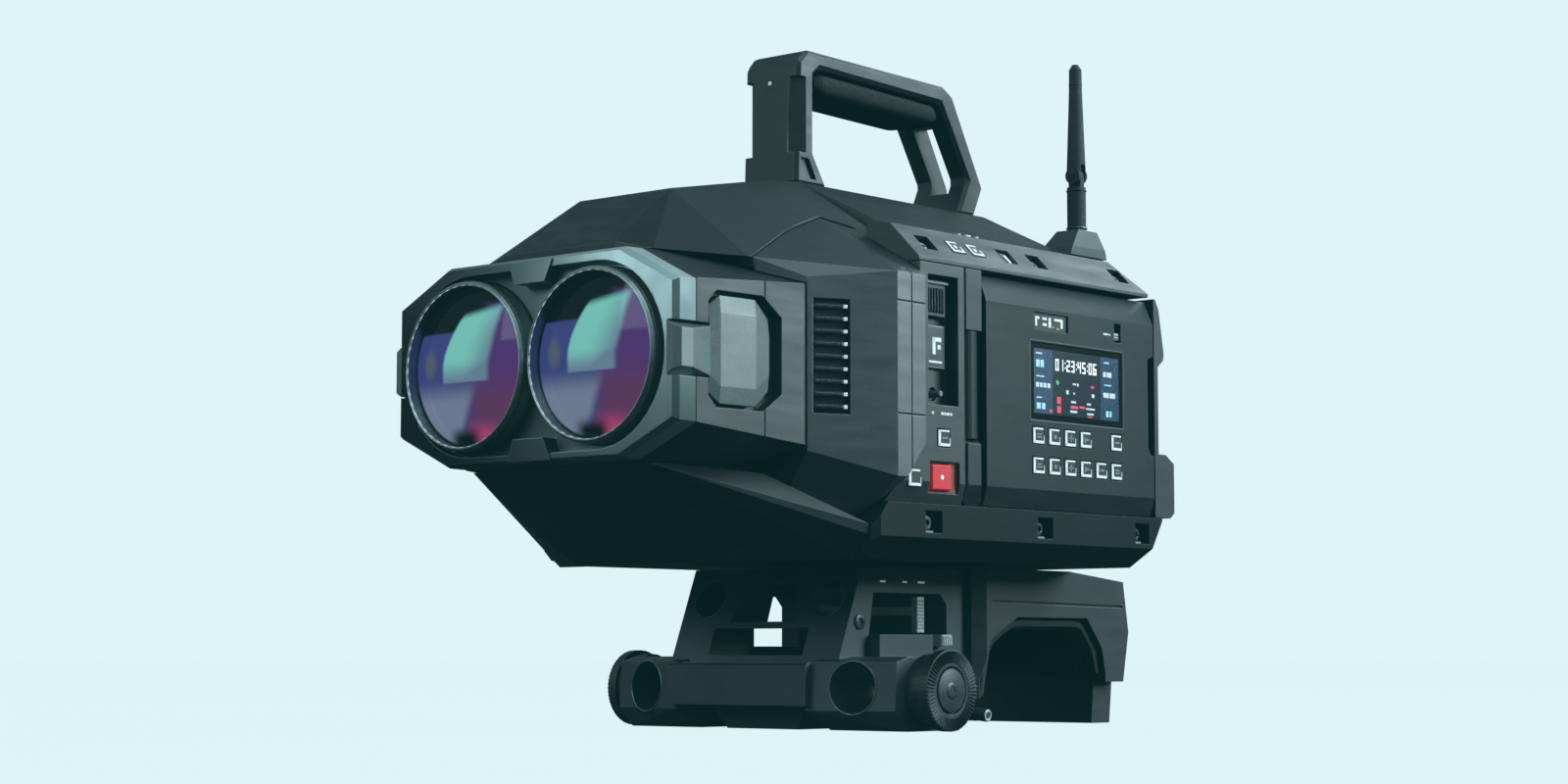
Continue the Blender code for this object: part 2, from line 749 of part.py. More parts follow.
def top_cover():
    edge = RAIL_INNER - GAP
    obj = place(
        "top_cover",
        hull(
            mirrored(
                [
                    (18, HOOD_BACK + GAP, SPINE_TOP),
                    (18, 246, SPINE_TOP),
                    (36, HOOD_BACK + GAP, 181.5),
                    (34, 247, 181.0),
                    (50, HOOD_BACK + GAP, 174.6),
                    (edge, HOOD_BACK + GAP, 173.2),
                    (edge, 262, 173.2),
                    (edge, BODY_BACK, 168.0),
                    (20, 256, 176.0),
                    (20, BODY_BACK, 172.0),
                    (edge, HOOD_BACK + GAP, DECK_Z),
                    (edge, BODY_BACK, DECK_Z),
                ]
            )
        ),
        SHELL,
    )
    deck = [(246.5, 200), (246.5, 188.0), (249.0, 174.5), (290, 174.5), (290, 200)]
    cut(obj, outline([deck], "YZ", -70, 70))
    cut(obj, box((-52, 52), (136, 262), (150, 169)))


def interior():
    board = place("main_board", box((-60, 60), (135, 255), (76, 78)), BOARD)
    for x, y, half in ((-40, 165, 9), (42, 170, 8), (38, 240, 9), (-35, 236, 7)):
        fuse(board, box((x - half, x + half), (y - half, y + half), (77.5, 80.6)))
    fuse(board, rod((0, FAN_Y, 77), (0, FAN_Y, 108), PIN_RADIUS, sides=20))
    fins = 9
    pitch = 6.5
    comb = [(-fins * pitch / 2, 79.4), (-fins * pitch / 2, 83.0)]
    for i in range(fins):
        left = -fins * pitch / 2 + i * pitch + 2.2
        comb += [(left, 83.0), (left, 98.0), (left + 1.6, 98.0), (left + 1.6, 83.0)]
    comb += [(fins * pitch / 2, 83.0), (fins * pitch / 2, 79.4)]
    place("heat_sink", outline([comb], "XZ", 188, 222), ALLOY)


def cooling_fan():
    """A rotor that turns on the main board's vertical axle."""
    centre = Vector((0, FAN_Y, 0))
    obj = place("cooling_fan", rod((0, FAN_Y, 100), (0, FAN_Y, 112), 10.0), KEY, pivot=(0, FAN_Y, 106))
    blades = 7
    for i in range(blades):
        angle = 2 * math.pi * i / blades
        around = Vector((math.cos(angle), math.sin(angle), 0))
        across = Vector((-around.y, around.x, 0))
        corners = []
        for reach in (8.0, 24.0):
            for lean, height in ((-3.6, 101.5), (3.6, 110.0)):
                middle = centre + around * reach + across * lean + Vector((0, 0, height))
                corners += [middle + across * 0.7, middle - across * 0.7]
        fuse(obj, hull(corners))
    cut(obj, rod((0, FAN_Y, 95), (0, FAN_Y, 109), PIN_BORE, sides=20))


# ---------------------------------------------------------------- monitor

def hinge_post():
    span = (HINGE_Y - 5.5, HINGE_Y + 5.5)
    width = (MONITOR_IN - 0.2, BODY_X)
    shape = box(width, span, (TRAY_TOP + GAP, 91.9))
    obj = soften(place("hinge_post", shape, METAL, pivot=(HINGE_X, HINGE_Y, 110)), 1.6)
    upper = hull(
        [(x, y, z) for x in (width[0] + 0.8, width[1] - 0.8) for y in span for z in (132.8, PANEL_TOP)]
        + [(x, y, z) for x in width for y in (span[0] + 0.8, span[1] - 0.8) for z in (132.8, PANEL_TOP)]
    )
    cut(obj, lower_band(1))
    fuse(obj, upper, rod((HINGE_X, HINGE_Y, 85), (HINGE_X, HINGE_Y, 140), PIN_RADIUS, sides=20))


def monitor_shell():
    body = []
    for y in (MONITOR_FRONT, 270.5):
        body += [(MONITOR_IN, y, TRAY_TOP + 0.6), (BODY_X - BAND_IN, y, TRAY_TOP + 0.6), (BODY_X, y, BAND_TOP)]
        body += [(BODY_X, y, 145.0), (BODY_X - 3.6, y, MONITOR_TOP), (MONITOR_IN, y, MONITOR_TOP)]
    obj = place("monitor_shell", hull(body), SHELL, pivot=(HINGE_X, HINGE_Y, 110))
    low, high = 92.2, 132.5
    fuse(obj, rod((HINGE_X, HINGE_Y, low), (HINGE_X, HINGE_Y, high), KNUCKLE_RADIUS, sides=24))
    fuse(obj, box((HINGE_X - 3.6, HINGE_X + 1.2), (HINGE_Y, MONITOR_FRONT + 2), (low, high)))
    cut(obj, rod((HINGE_X, HINGE_Y, 80), (HINGE_X, HINGE_Y, 140), PIN_BORE, sides=20))
    cut(obj, box((83.6, 90), (186.6, 248.2), (102.0, 131.8)))
    cut(obj, box((60, 75.1), (167, 263), (75, 149)))
    cut(obj, box((84.0, 90), ICON_WINDOW_Y, ICON_WINDOW_Z), box((82.0, 90), (243.0, 247.6), (136.0, 143.6)))
    for _, y, z in status_keys():
        half_y, half_z = [size / 2 + KEY_GAP for size in BUTTON_SIZE]
        cut(obj, box((81.8, 90), (y - half_y, y + half_y), (z - half_z, z + half_z)))
    notch = [(266.5, 131), (266.5, 95), (268.5, 92), (275, 92), (275, 134)]
    cut(obj, outline([notch], "YZ", 70, 90))


def status_keys():
    """Number and middle of each key of the monitor's two rows."""
    keys = []
    for z, columns in BUTTON_ROWS:
        for column in columns:
            keys.append((len(keys) + 1, BUTTON_Y + BUTTON_PITCH * column, z))
    return keys


def monitor_faces():
    place("status_screen", box((83.9, 84.7), (186.9, 247.9), (102.3, 131.5)), SCREEN)
    place("touch_screen", box((73.8, 74.8), (167.3, 262.7), (75.3, 148.7)), SCREEN)
    for number, y, z in status_keys():
        side_key(f"status_button_{number:02d}", y, z, *BUTTON_SIZE, KEY)


# ---------------------------------------------------------------- handle and antenna

def handle_frame():
    foot = SPINE_TOP + GAP
    side = [
        (131.5, foot),
        (133.0, 242.0),
        (138.0, 247.5),
        (226.0, 246.0),
        (231.5, 243.0),
        (252.0, 206.6),
        (246.0, foot),
        (234.5, foot),
        (241.5, 208.8),
        (223.0, 238.6),
        (146.0, 241.0),
        (142.5, 238.0),
        (142.5, 207.0),
        (151.0, foot),
    ]
    obj = place("handle_frame", outline([side], "YZ", -HANDLE_X, HANDLE_X), SHELL)
    soften(obj, 1.5)
    foot_slot = [(134.0, 204.5), (139.0, 204.5), (143.5, 196.5), (138.5, 196.5)]
    for edge in (HANDLE_X, -HANDLE_X):
        reach = math.copysign(POST_CHAMFER, edge)
        inner, outer = edge - reach, edge + reach
        ahead, behind = POST_FACE - POST_CHAMFER, POST_FACE + 2 * POST_CHAMFER
        corner = [(inner, POST_FACE), (inner, ahead), (outer, ahead), (outer, behind)]
        cut(obj, outline([corner], "XY", *POST_CHAMFER_Z))
        cut(obj, outline([foot_slot], "YZ", *sorted((edge - math.copysign(FOOT_SLOT_DEPTH, edge), outer))))
    slot = [(243.5, 206.0), (228.0, 232.0), (222.0, 229.0), (237.0, 203.0)]
    cut(obj, outline([[(y + dy, z) for (y, z), dy in zip(slot, (12, 12, -6, -6))]], "YZ", -5.0, 5.0))


def handle_grip():
    side = [(146.5, 240.6), (221.8, 238.2), (223.0, 233.0), (217.0, 228.8), (151.0, 230.8), (144.5, 235.0)]
    obj = place("handle_grip", outline([side], "YZ", -13.6, 13.6), RUBBER)
    soften(obj, 2.0, 2)


def antenna():
    x, y, z = ANTENNA_X, ANTENNA_Y, ANTENNA_PIVOT_Z
    low = [(x + a, y + b, 174.8) for a in (-8, 7.2) for b in (-14.5, 11)]
    high = [(x + a, y + b, 186.0) for a in (-5.5, 5.5) for b in (-6.5, 6.5)]
    middle = [(x + a, y + b, 178.5) for a in (-8, 7.2) for b in (-13, 10)]
    place("antenna_base", hull(low + middle + high), METAL)
    stem = rod((x, y, 186.3), (x, y, 204.4), 3.9, sides=24)
    knuckle = place("antenna_knuckle", stem, KEY, pivot=(x, y, 186.3))
    fuse(knuckle, box((x - 3, x + 3), (y - 1.3, y + 1.3), (203, z)))
    fuse(knuckle, rod((x, y - 1.3, z), (x, y + 1.3, z), 2.9, sides=20))
    whip = place(
        "antenna_whip",
        rod((x, y, z), (x, y, 244), 4.0, 2.75, sides=24),
        RUBBER,
        pivot=(x, y, z),
    )
    fuse(whip, rod((x, y, 243), (x, y, ANTENNA_TIP_Z - 2), 2.75, 2.6, sides=24))
    fuse(whip, rod((x, y, ANTENNA_TIP_Z - 2.2), (x, y, ANTENNA_TIP_Z), 2.6, 1.3, sides=24))
    fuse(whip, rod((x, y - 2.9, z), (x, y + 2.9, z), 3.5, sides=24))
    cut(whip, box((x - 6, x + 6), (y - 1.6, y + 1.6), (z - 8, z + 4.4)))


# ---------------------------------------------------------------- base

def base_body():
    upper = [(135.7, 43.6), (122.0, 9.3), (199.6, 9.3), (199.6, 45.4), (136.2, 45.4)]
    obj = place("base_body", hull(mirrored([(BASE_X, y, z) for y, z in upper])), METAL)
    deck = mirrored([(BASE_X, y, z) for y in (117.5, 199.6) for z in (-6.8, 9.6)])
    fuse(obj, hull(deck))
    cut(obj, box((-33, 33), (150, 192), (12, 40)))
    upper_front = [(-17.0, 24.8), (17.0, 24.8), (12.5, 39.5), (-12.5, 39.5)]
    cut(obj, outline([upper_front], "XZ", 105, 155), box((-24, 24), (105, 155), (12, 22.4)))
    window = [(139.5, 15.5), (143.0, 35.6), (184.0, 35.6), (188.0, 31.5), (188.0, 15.5)]
    far_window = [(max(y, 157.0), z) for y, z in window[1:]] + [(157.0, 15.5)]
    cut(obj, outline([window], "YZ", 0, 60), outline([far_window[1:] + far_window[:1]], "YZ", -60, 1))
    fuse(obj, box((30, 47.5), (140.5, 173), (10, 19.8)))
    bar = [(112.0, -6.8), (112.0, 8.0), (113.2, 9.1), (125.0, 9.1), (125.0, -6.8)]
    fuse(obj, outline([bar], "YZ", -35, 35))
    for side in (1, -1):
        block = []
        for y, z in ((130, 11.5), (122.5, 9.5), (121.5, -8.5), (129, GROUND), (160, GROUND), (160, 11.5)):
            inner = y - 7 if y < 128 else y
            block += [(side * BLOCK_X, y, z), (side * 33, inner, z)]
        fuse(obj, hull(block))
        x = side * ROD19_X
        cut(obj, rod((x, 100, 0), (x, 170, 0), ROD19_BORE))
        x = side * ROD15_X
        cut(obj, rod((x, 110, ROD15_Z), (x, 155, ROD15_Z), ROD15_BORE))
    fuse(obj, rod((0, LEVER_Y, 10), (0, LEVER_Y, 26.5), 4.5, sides=24))
    wedge = mirrored([(18, y, GROUND) for y in (128, 194)] + [(24, y, -6.5) for y in (124, 198)])
    fuse(obj, hull(wedge))


def rosettes():
    for name, side in (("rosette_left", 1), ("rosette_right", -1)):
        at = (side * (BLOCK_X + GAP), ROSETTE_Y, ROSETTE_Z)
        shape = rod(at, (side * (ROSETTE_FACE - 2.5), ROSETTE_Y, ROSETTE_Z), 13.5)
        obj = place(name, shape, METAL, pivot=at)
        edge = side * (ROSETTE_FACE - 4.0)
        front = (side * ROSETTE_FACE, ROSETTE_Y, ROSETTE_Z)
        fuse(obj, rod((edge, ROSETTE_Y, ROSETTE_Z), front, ROSETTE_RADIUS))
        face = side * (ROSETTE_FACE - 1.6)
        cut(obj, rod((face, ROSETTE_Y, ROSETTE_Z), (side * 90, ROSETTE_Y, ROSETTE_Z), 9.0, sides=24))
        cut(obj, rod((side * 74, ROSETTE_Y, ROSETTE_Z), (side * 90, ROSETTE_Y, ROSETTE_Z), 3.0, sides=6))


def release_lever():
    y = LEVER_Y
    obj = place("release_lever", box((-6, 46), (y - 2.6, y + 2.6), (27.2, 30.4)), WHITE, pivot=(0, y, 28.8))
    fuse(obj, rod((0, y, 26.8), (0, y, 31.2), 7.0, sides=24))
    fuse(obj, box((45.2, 47.8), (y - 2.1, y + 2.1), (20.6, 34.2)))


def rod_clamp_lever():
    """The locking handle of the 19 mm rod clamp, under the left rosette."""
    x, y, z = 64.0, 163.2, -9.0
    obj = place("rod_clamp_lever", rod((x, 160.3, z), (x, 168, z), 4.4, sides=24), METAL, pivot=(x, y, z))
    fuse(obj, rod((x, 165.6, z), (x + 15, 165.6, z - 1.5), 2.4, sides=16))


def shoulder_rest():
    side = [
        (PAD_FRONT, 46.2),
        (262.0, 46.0),
        (300.4, 42.4),
        (304.0, 21.6),
        (300.0, 2.0),
        (298.0, GROUND),
        (285.0, GROUND),
        (287.0, 4.0),
        (284.5, 15.0),
        (274.0, 27.0),
        (226.0, 27.0),
        (208.0, 18.0),
        (203.0, 2.0),
        (203.0, -5.0),
        (PAD_FRONT, -5.0),
    ]
    obj = place("shoulder_shell", outline([side], "YZ", -PAD_X, PAD_X), SHELL)
    for x in (1, -1):
        corner = ((BASE_X, 195), (PAD_X + 2, 195), (PAD_X + 2, 209))
        cut(obj, hull([(x * a, y, z) for a, y in corner for z in (-20, 50)]))
        cut(obj, box((x * 43, x * 60), (278, 305), (GROUND - 2, 1.0)))
    lining = [
        (203.4, -4.4),
        (208.3, 17.7),
        (226.1, 26.6),
        (273.8, 26.6),
        (284.1, 14.8),
        (286.5, 4.4),
        (283.0, 4.4),
        (280.2, 13.0),
        (271.5, 22.5),
        (228.0, 22.5),
        (212.0, 14.5),
        (206.6, -4.4),
    ]
    place("shoulder_pad", outline([lining], "YZ", -PAD_X + 2, PAD_X - 2), RUBBER)


def build():
    front_bezel()
    lens_barrels()
    front_glasses()
    sensor_board()
    barrel_housing()
    clip_covers()
    vent_grilles()
    front_cowl()
    hood_cover()
    nose_tray()
    chassis()
    control_panel()
    panel_controls()
    right_cover()
    media_module()
    rear_panel()
    battery_plate()
    bottom_tray()
    top_rails()
    top_buttons()
    top_cover()
    interior()
    cooling_fan()
    hinge_post()
    monitor_shell()
    monitor_faces()
    handle_frame()
    handle_grip()
    antenna()
    base_body()
    rosettes()
    release_lever()
    rod_clamp_lever()
    shoulder_rest()


build()
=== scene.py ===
"""Looks of the twin-lens camera rig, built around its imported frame.

Sizes are millimetres in the lens frame of the CAD source: X to the operator's left, Y back from
the lens rims, Z up from the axis of the 19 mm rods. at() turns them into the frame's metres.
"""
import json
from math import atan2, copysign, cos, pi, radians, sin, sqrt

import bmesh
import bpy
from mathutils import Matrix, Vector

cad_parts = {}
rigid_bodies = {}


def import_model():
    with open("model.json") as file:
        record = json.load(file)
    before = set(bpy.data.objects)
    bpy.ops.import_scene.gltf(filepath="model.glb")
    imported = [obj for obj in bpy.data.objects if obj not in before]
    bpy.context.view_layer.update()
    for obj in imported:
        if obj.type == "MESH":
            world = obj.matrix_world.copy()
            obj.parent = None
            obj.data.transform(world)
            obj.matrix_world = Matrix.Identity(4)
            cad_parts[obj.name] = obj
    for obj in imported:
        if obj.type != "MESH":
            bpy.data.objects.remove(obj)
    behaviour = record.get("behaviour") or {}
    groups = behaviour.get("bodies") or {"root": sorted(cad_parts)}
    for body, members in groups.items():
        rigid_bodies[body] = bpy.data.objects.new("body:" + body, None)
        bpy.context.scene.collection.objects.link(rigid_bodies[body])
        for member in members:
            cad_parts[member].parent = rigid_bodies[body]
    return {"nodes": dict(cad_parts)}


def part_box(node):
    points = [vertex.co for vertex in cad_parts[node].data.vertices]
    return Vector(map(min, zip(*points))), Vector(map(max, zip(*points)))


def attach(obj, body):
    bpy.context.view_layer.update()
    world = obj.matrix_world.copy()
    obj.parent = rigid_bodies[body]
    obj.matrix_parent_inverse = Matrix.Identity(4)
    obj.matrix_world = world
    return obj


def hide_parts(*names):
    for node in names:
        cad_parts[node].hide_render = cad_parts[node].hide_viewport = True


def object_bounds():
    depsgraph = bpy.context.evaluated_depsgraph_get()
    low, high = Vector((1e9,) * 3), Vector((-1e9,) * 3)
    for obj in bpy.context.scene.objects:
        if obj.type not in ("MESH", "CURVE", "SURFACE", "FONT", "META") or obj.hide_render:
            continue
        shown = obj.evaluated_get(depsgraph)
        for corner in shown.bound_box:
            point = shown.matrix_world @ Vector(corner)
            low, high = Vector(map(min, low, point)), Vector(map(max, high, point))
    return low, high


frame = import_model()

MM = 0.001
LOW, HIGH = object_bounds()
ROD_AXIS_HEIGHT = 16.0
NODES = frame["nodes"]
ROOT = "camera_body"

scene = bpy.context.scene
for name in ("Cube", "Light", "Camera"):
    if name in bpy.data.objects:
        bpy.data.objects.remove(bpy.data.objects[name], do_unlink=True)


def at(x, y, z):
    """A point of the lens frame, in the frame's metres."""
    return Vector((x * MM, LOW.y + y * MM, LOW.z + (z + ROD_AXIS_HEIGHT) * MM))


def placed(name, data):
    """A new object, in the scene."""
    obj = bpy.data.objects.new(name, data)
    scene.collection.objects.link(obj)
    return obj


def node_middle(node):
    """A node's middle in lens-frame millimetres."""
    low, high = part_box(node)
    return ((low + high) / 2 - at(0, 0, 0)) / MM


# ---- node materials

class Graph:
    """Short ways to write the nodes of a world, or of a new material of this name."""

    def __init__(self, owner):
        self.owner = bpy.data.materials.new(owner) if isinstance(owner, str) else owner
        self.owner.use_nodes = True
        self.nodes = self.owner.node_tree.nodes
        self.link = self.owner.node_tree.links.new

    def node(self, kind, **settings):
        made = self.nodes.new(kind)
        for key, value in settings.items():
            setattr(made, key, value)
        return made

    def feed(self, socket, value):
        """Links a socket to an output, or sets it to a colour or a number."""
        if hasattr(value, "is_output"):
            self.link(value, socket)
        elif hasattr(value, "__len__"):
            socket.default_value = (*value, 1.0)
        else:
            socket.default_value = value

    def math(self, operation, a, b=0.0, clamp=False):
        made = self.node("ShaderNodeMath", operation=operation, use_clamp=clamp)
        self.feed(made.inputs[0], a)
        self.feed(made.inputs[1], b)
        return made.outputs[0]

    def add(self, a, b, clamp=False):
        return self.math("ADD", a, b, clamp)

    def sub(self, a, b):
        return self.math("SUBTRACT", a, b)

    def mul(self, a, b):
        return self.math("MULTIPLY", a, b)

    def facing(self):
        """Where a face looks, as a socket for each of X, Y and Z."""
        split = self.node("ShaderNodeSeparateXYZ")
        self.link(self.node("ShaderNodeNewGeometry").outputs["Normal"], split.inputs[0])
        return split.outputs

    def ramp(self, value, low, high, out_low=0.0, out_high=1.0):
        """Smooth step of value from low to high."""
        made = self.node("ShaderNodeMapRange", interpolation_type="SMOOTHSTEP")
        for socket, number in zip(made.inputs[1:5], (low, high, out_low, out_high)):
            socket.default_value = number
        self.feed(made.inputs[0], value)
        return made.outputs[0]

    def mix(self, factor, a, b):
        made = self.node("ShaderNodeMix", data_type="RGBA")
        self.feed(made.inputs[0], factor)
        self.feed(made.inputs[6], a)
        self.feed(made.inputs[7], b)
        return made.outputs[2]

    def coords(self, scale=(1.0, 1.0, 1.0), move=(0.0, 0.0, 0.0)):
        mapping = self.node("ShaderNodeMapping")
        mapping.inputs["Location"].default_value = move
        mapping.inputs["Scale"].default_value = scale
        place = self.node("ShaderNodeTexCoord").outputs["Object"]
        self.link(place, mapping.inputs["Vector"])
        return mapping.outputs[0]

    def noise(self, scale, detail=3.0, stretch=(1.0, 1.0, 1.0)):
        made = self.node("ShaderNodeTexNoise")
        made.inputs["Scale"].default_value = scale
        made.inputs["Detail"].default_value = detail
        self.link(self.coords(stretch), made.inputs["Vector"])
        return made.outputs["Fac"]

    def edge(self, radius):
        """Mask of worn edges that also carries a painted edge highlight: how far a rounded normal
        leans from the face's own, and that normal.
        """
        bevel = self.node("ShaderNodeBevel", samples=6)
        bevel.inputs["Radius"].default_value = radius * MM
        geometry = self.node("ShaderNodeNewGeometry")
        dot = self.node("ShaderNodeVectorMath", operation="DOT_PRODUCT")
        self.link(bevel.outputs[0], dot.inputs[0])
        self.link(geometry.outputs["True Normal"], dot.inputs[1])
        lean = self.sub(1.0, dot.outputs["Value"])
        return self.ramp(lean, 0.0005, 0.06), bevel.outputs[0]

    def bump(self, height, strength, distance, normal=None):
        made = self.node("ShaderNodeBump")
        made.inputs["Strength"].default_value = strength
        made.inputs["Distance"].default_value = distance * MM
        self.feed(made.inputs["Height"], height)
        if normal is not None:
            self.link(normal, made.inputs["Normal"])
        return made.outputs[0]

    def set(self, **values):
        for key, value in values.items():
            self.feed(self.nodes["Principled BSDF"].inputs[key.replace("_", " ")], value)
        return self.owner


def times(colour, factor, plus=0.0):
    return [min(1.0, part * factor + plus) for part in colour]


def painted(
    name, deep, base, wear_and_highlight, rough=(0.36, 0.52), metal=0.0, grain=1500.0, bump=0.22, shine=0.5
):
    """Fine-textured paint: cloudy, with pepper grain, rubbed edges with a painted highlight, and
    painted shade that darkens and dulls it on top.
    """
    g = Graph(name)
    # painted shade: faces that look up are darkened and their specular level lowered
    top_shade = g.ramp(g.facing()[2], 0.42, 0.9)
    cloud = g.noise(28.0, 4.0)
    pepper = g.noise(grain, 2.0)
    smear = g.noise(90.0, 5.0, (1.0, 0.35, 2.4))
    tone = g.mix(g.ramp(cloud, 0.3, 0.7), deep, base)
    tone = g.mix(g.mul(g.ramp(pepper, 0.52, 0.75), 0.35), tone, times(base, 1.9))
    # rubbed edges, lightened further as a painted edge highlight
    rub_and_highlight, rounded = g.edge(0.45)
    rub_and_highlight = g.mul(rub_and_highlight, g.ramp(smear, 0.25, 0.75, 0.35, 1.0))
    tone = g.mix(g.mul(rub_and_highlight, 0.75), tone, wear_and_highlight)
    roughness = g.add(g.ramp(smear, 0.2, 0.8, rough[0], rough[1]), g.mul(pepper, 0.04))
    normal = g.bump(pepper, bump, 0.05, rounded)
    tone = g.mix(g.mul(top_shade, 0.6), tone, times(deep, 0.25))
    level = g.sub(shine, g.mul(top_shade, shine * 0.7))
    g.set(Base_Color=tone, Roughness=roughness, Normal=normal)
    return g.set(Metallic=metal, Specular_IOR_Level=level)


def crowned_paint(name, half_x, half_z, centre_z):
    """Satin metal, shaded as if its front were slightly domed, with painted light that pales it
    towards the operator's left and top, and painted shade on its flanks.
    """
    g = Graph(name)
    split = g.node("ShaderNodeSeparateXYZ")
    g.link(g.coords(move=(0.0, 0.0, -centre_z)), split.inputs[0])
    across = g.math("DIVIDE", split.outputs[0], half_x)
    upright = g.math("DIVIDE", split.outputs[2], half_z)
    pepper = g.noise(1500.0, 2.0)
    smear = g.noise(90.0, 5.0)
    # painted light: paler towards the operator's left and towards the top
    painted_light_ramp = g.add(g.ramp(across, -0.75, 0.95), g.mul(g.ramp(upright, 0.2, 1.0), 0.12), clamp=True)
    tone = g.mix(painted_light_ramp, (0.010, 0.017, 0.018), (0.33, 0.42, 0.435))
    # rubbed edges with a painted edge highlight
    rub_and_highlight, rounded = g.edge(0.5)
    tone = g.mix(g.mul(rub_and_highlight, 0.5), tone, (0.45, 0.55, 0.56))
    # painted shade on faces that look sideways
    flank_shade = g.ramp(g.math("ABSOLUTE", g.facing()[0]), 0.55, 0.95)
    tone = g.mix(g.mul(flank_shade, 0.85), tone, (0.03, 0.045, 0.048))
    lean = g.node("ShaderNodeCombineXYZ")
    g.feed(lean.inputs[0], g.mul(across, 0.32))
    g.feed(lean.inputs[2], g.mul(upright, 0.2))
    tilted = g.node("ShaderNodeVectorMath", operation="ADD")
    g.link(rounded, tilted.inputs[0])
    g.link(lean.outputs[0], tilted.inputs[1])
    unit = g.node("ShaderNodeVectorMath", operation="NORMALIZE")
    g.link(tilted.outputs[0], unit.inputs[0])
    return g.set(
        Base_Color=tone,
        Roughness=g.ramp(smear, 0.2, 0.8, 0.36, 0.46),
        Metallic=0.6,
        Normal=g.bump(pepper, 0.15, 0.05, unit.outputs[0]),
    )


def rubber(name, base, light, shine=0.45):
    """Matt rubber with a dusty bloom and rubbed edges that carry a painted highlight."""
    g = Graph(name)
    cloud = g.noise(60.0, 4.0)
    dust = g.noise(700.0, 3.0)
    tone = g.mix(g.ramp(cloud, 0.3, 0.75), base, light)
    tone = g.mix(g.mul(g.ramp(dust, 0.55, 0.8), 0.3), tone, times(light, 2.2))
    # rubbed edges, lightened further as a painted edge highlight
    rub_and_highlight, rounded = g.edge(0.4)
    tone = g.mix(g.mul(rub_and_highlight, 0.3), tone, times(light, 2.5))
    return g.set(
        Base_Color=tone,
        Roughness=g.ramp(dust, 0.2, 0.8, 0.62, 0.82),
        Normal=g.bump(dust, 0.3, 0.06, rounded),
        Specular_IOR_Level=shine,
    )


def plain(name, base, rough, metal=0.0, emit=None, strength=0.0, speck=900.0):
    """A small part's finish: a slight mottle, fine bump, and rubbed edges that carry a painted
    highlight.
    """
    g = Graph(name)
    mottle = g.noise(speck, 3.0)
    tone = g.mix(g.ramp(mottle, 0.3, 0.7), times(base, 0.8), times(base, 1.15))
    # rubbed edges, lightened further as a painted edge highlight
    rub_and_highlight, rounded = g.edge(0.25)
    tone = g.mix(g.mul(rub_and_highlight, 0.35), tone, times(base, 1.7, 0.02))
    g.set(
        Base_Color=tone,
        Roughness=g.ramp(mottle, 0.2, 0.8, rough * 0.85, min(1.0, rough * 1.15)),
        Normal=g.bump(mottle, 0.1, 0.03, rounded),
        Metallic=metal,
    )
    if emit:
        g.set(Emission_Color=emit, Emission_Strength=strength)
    return g.owner


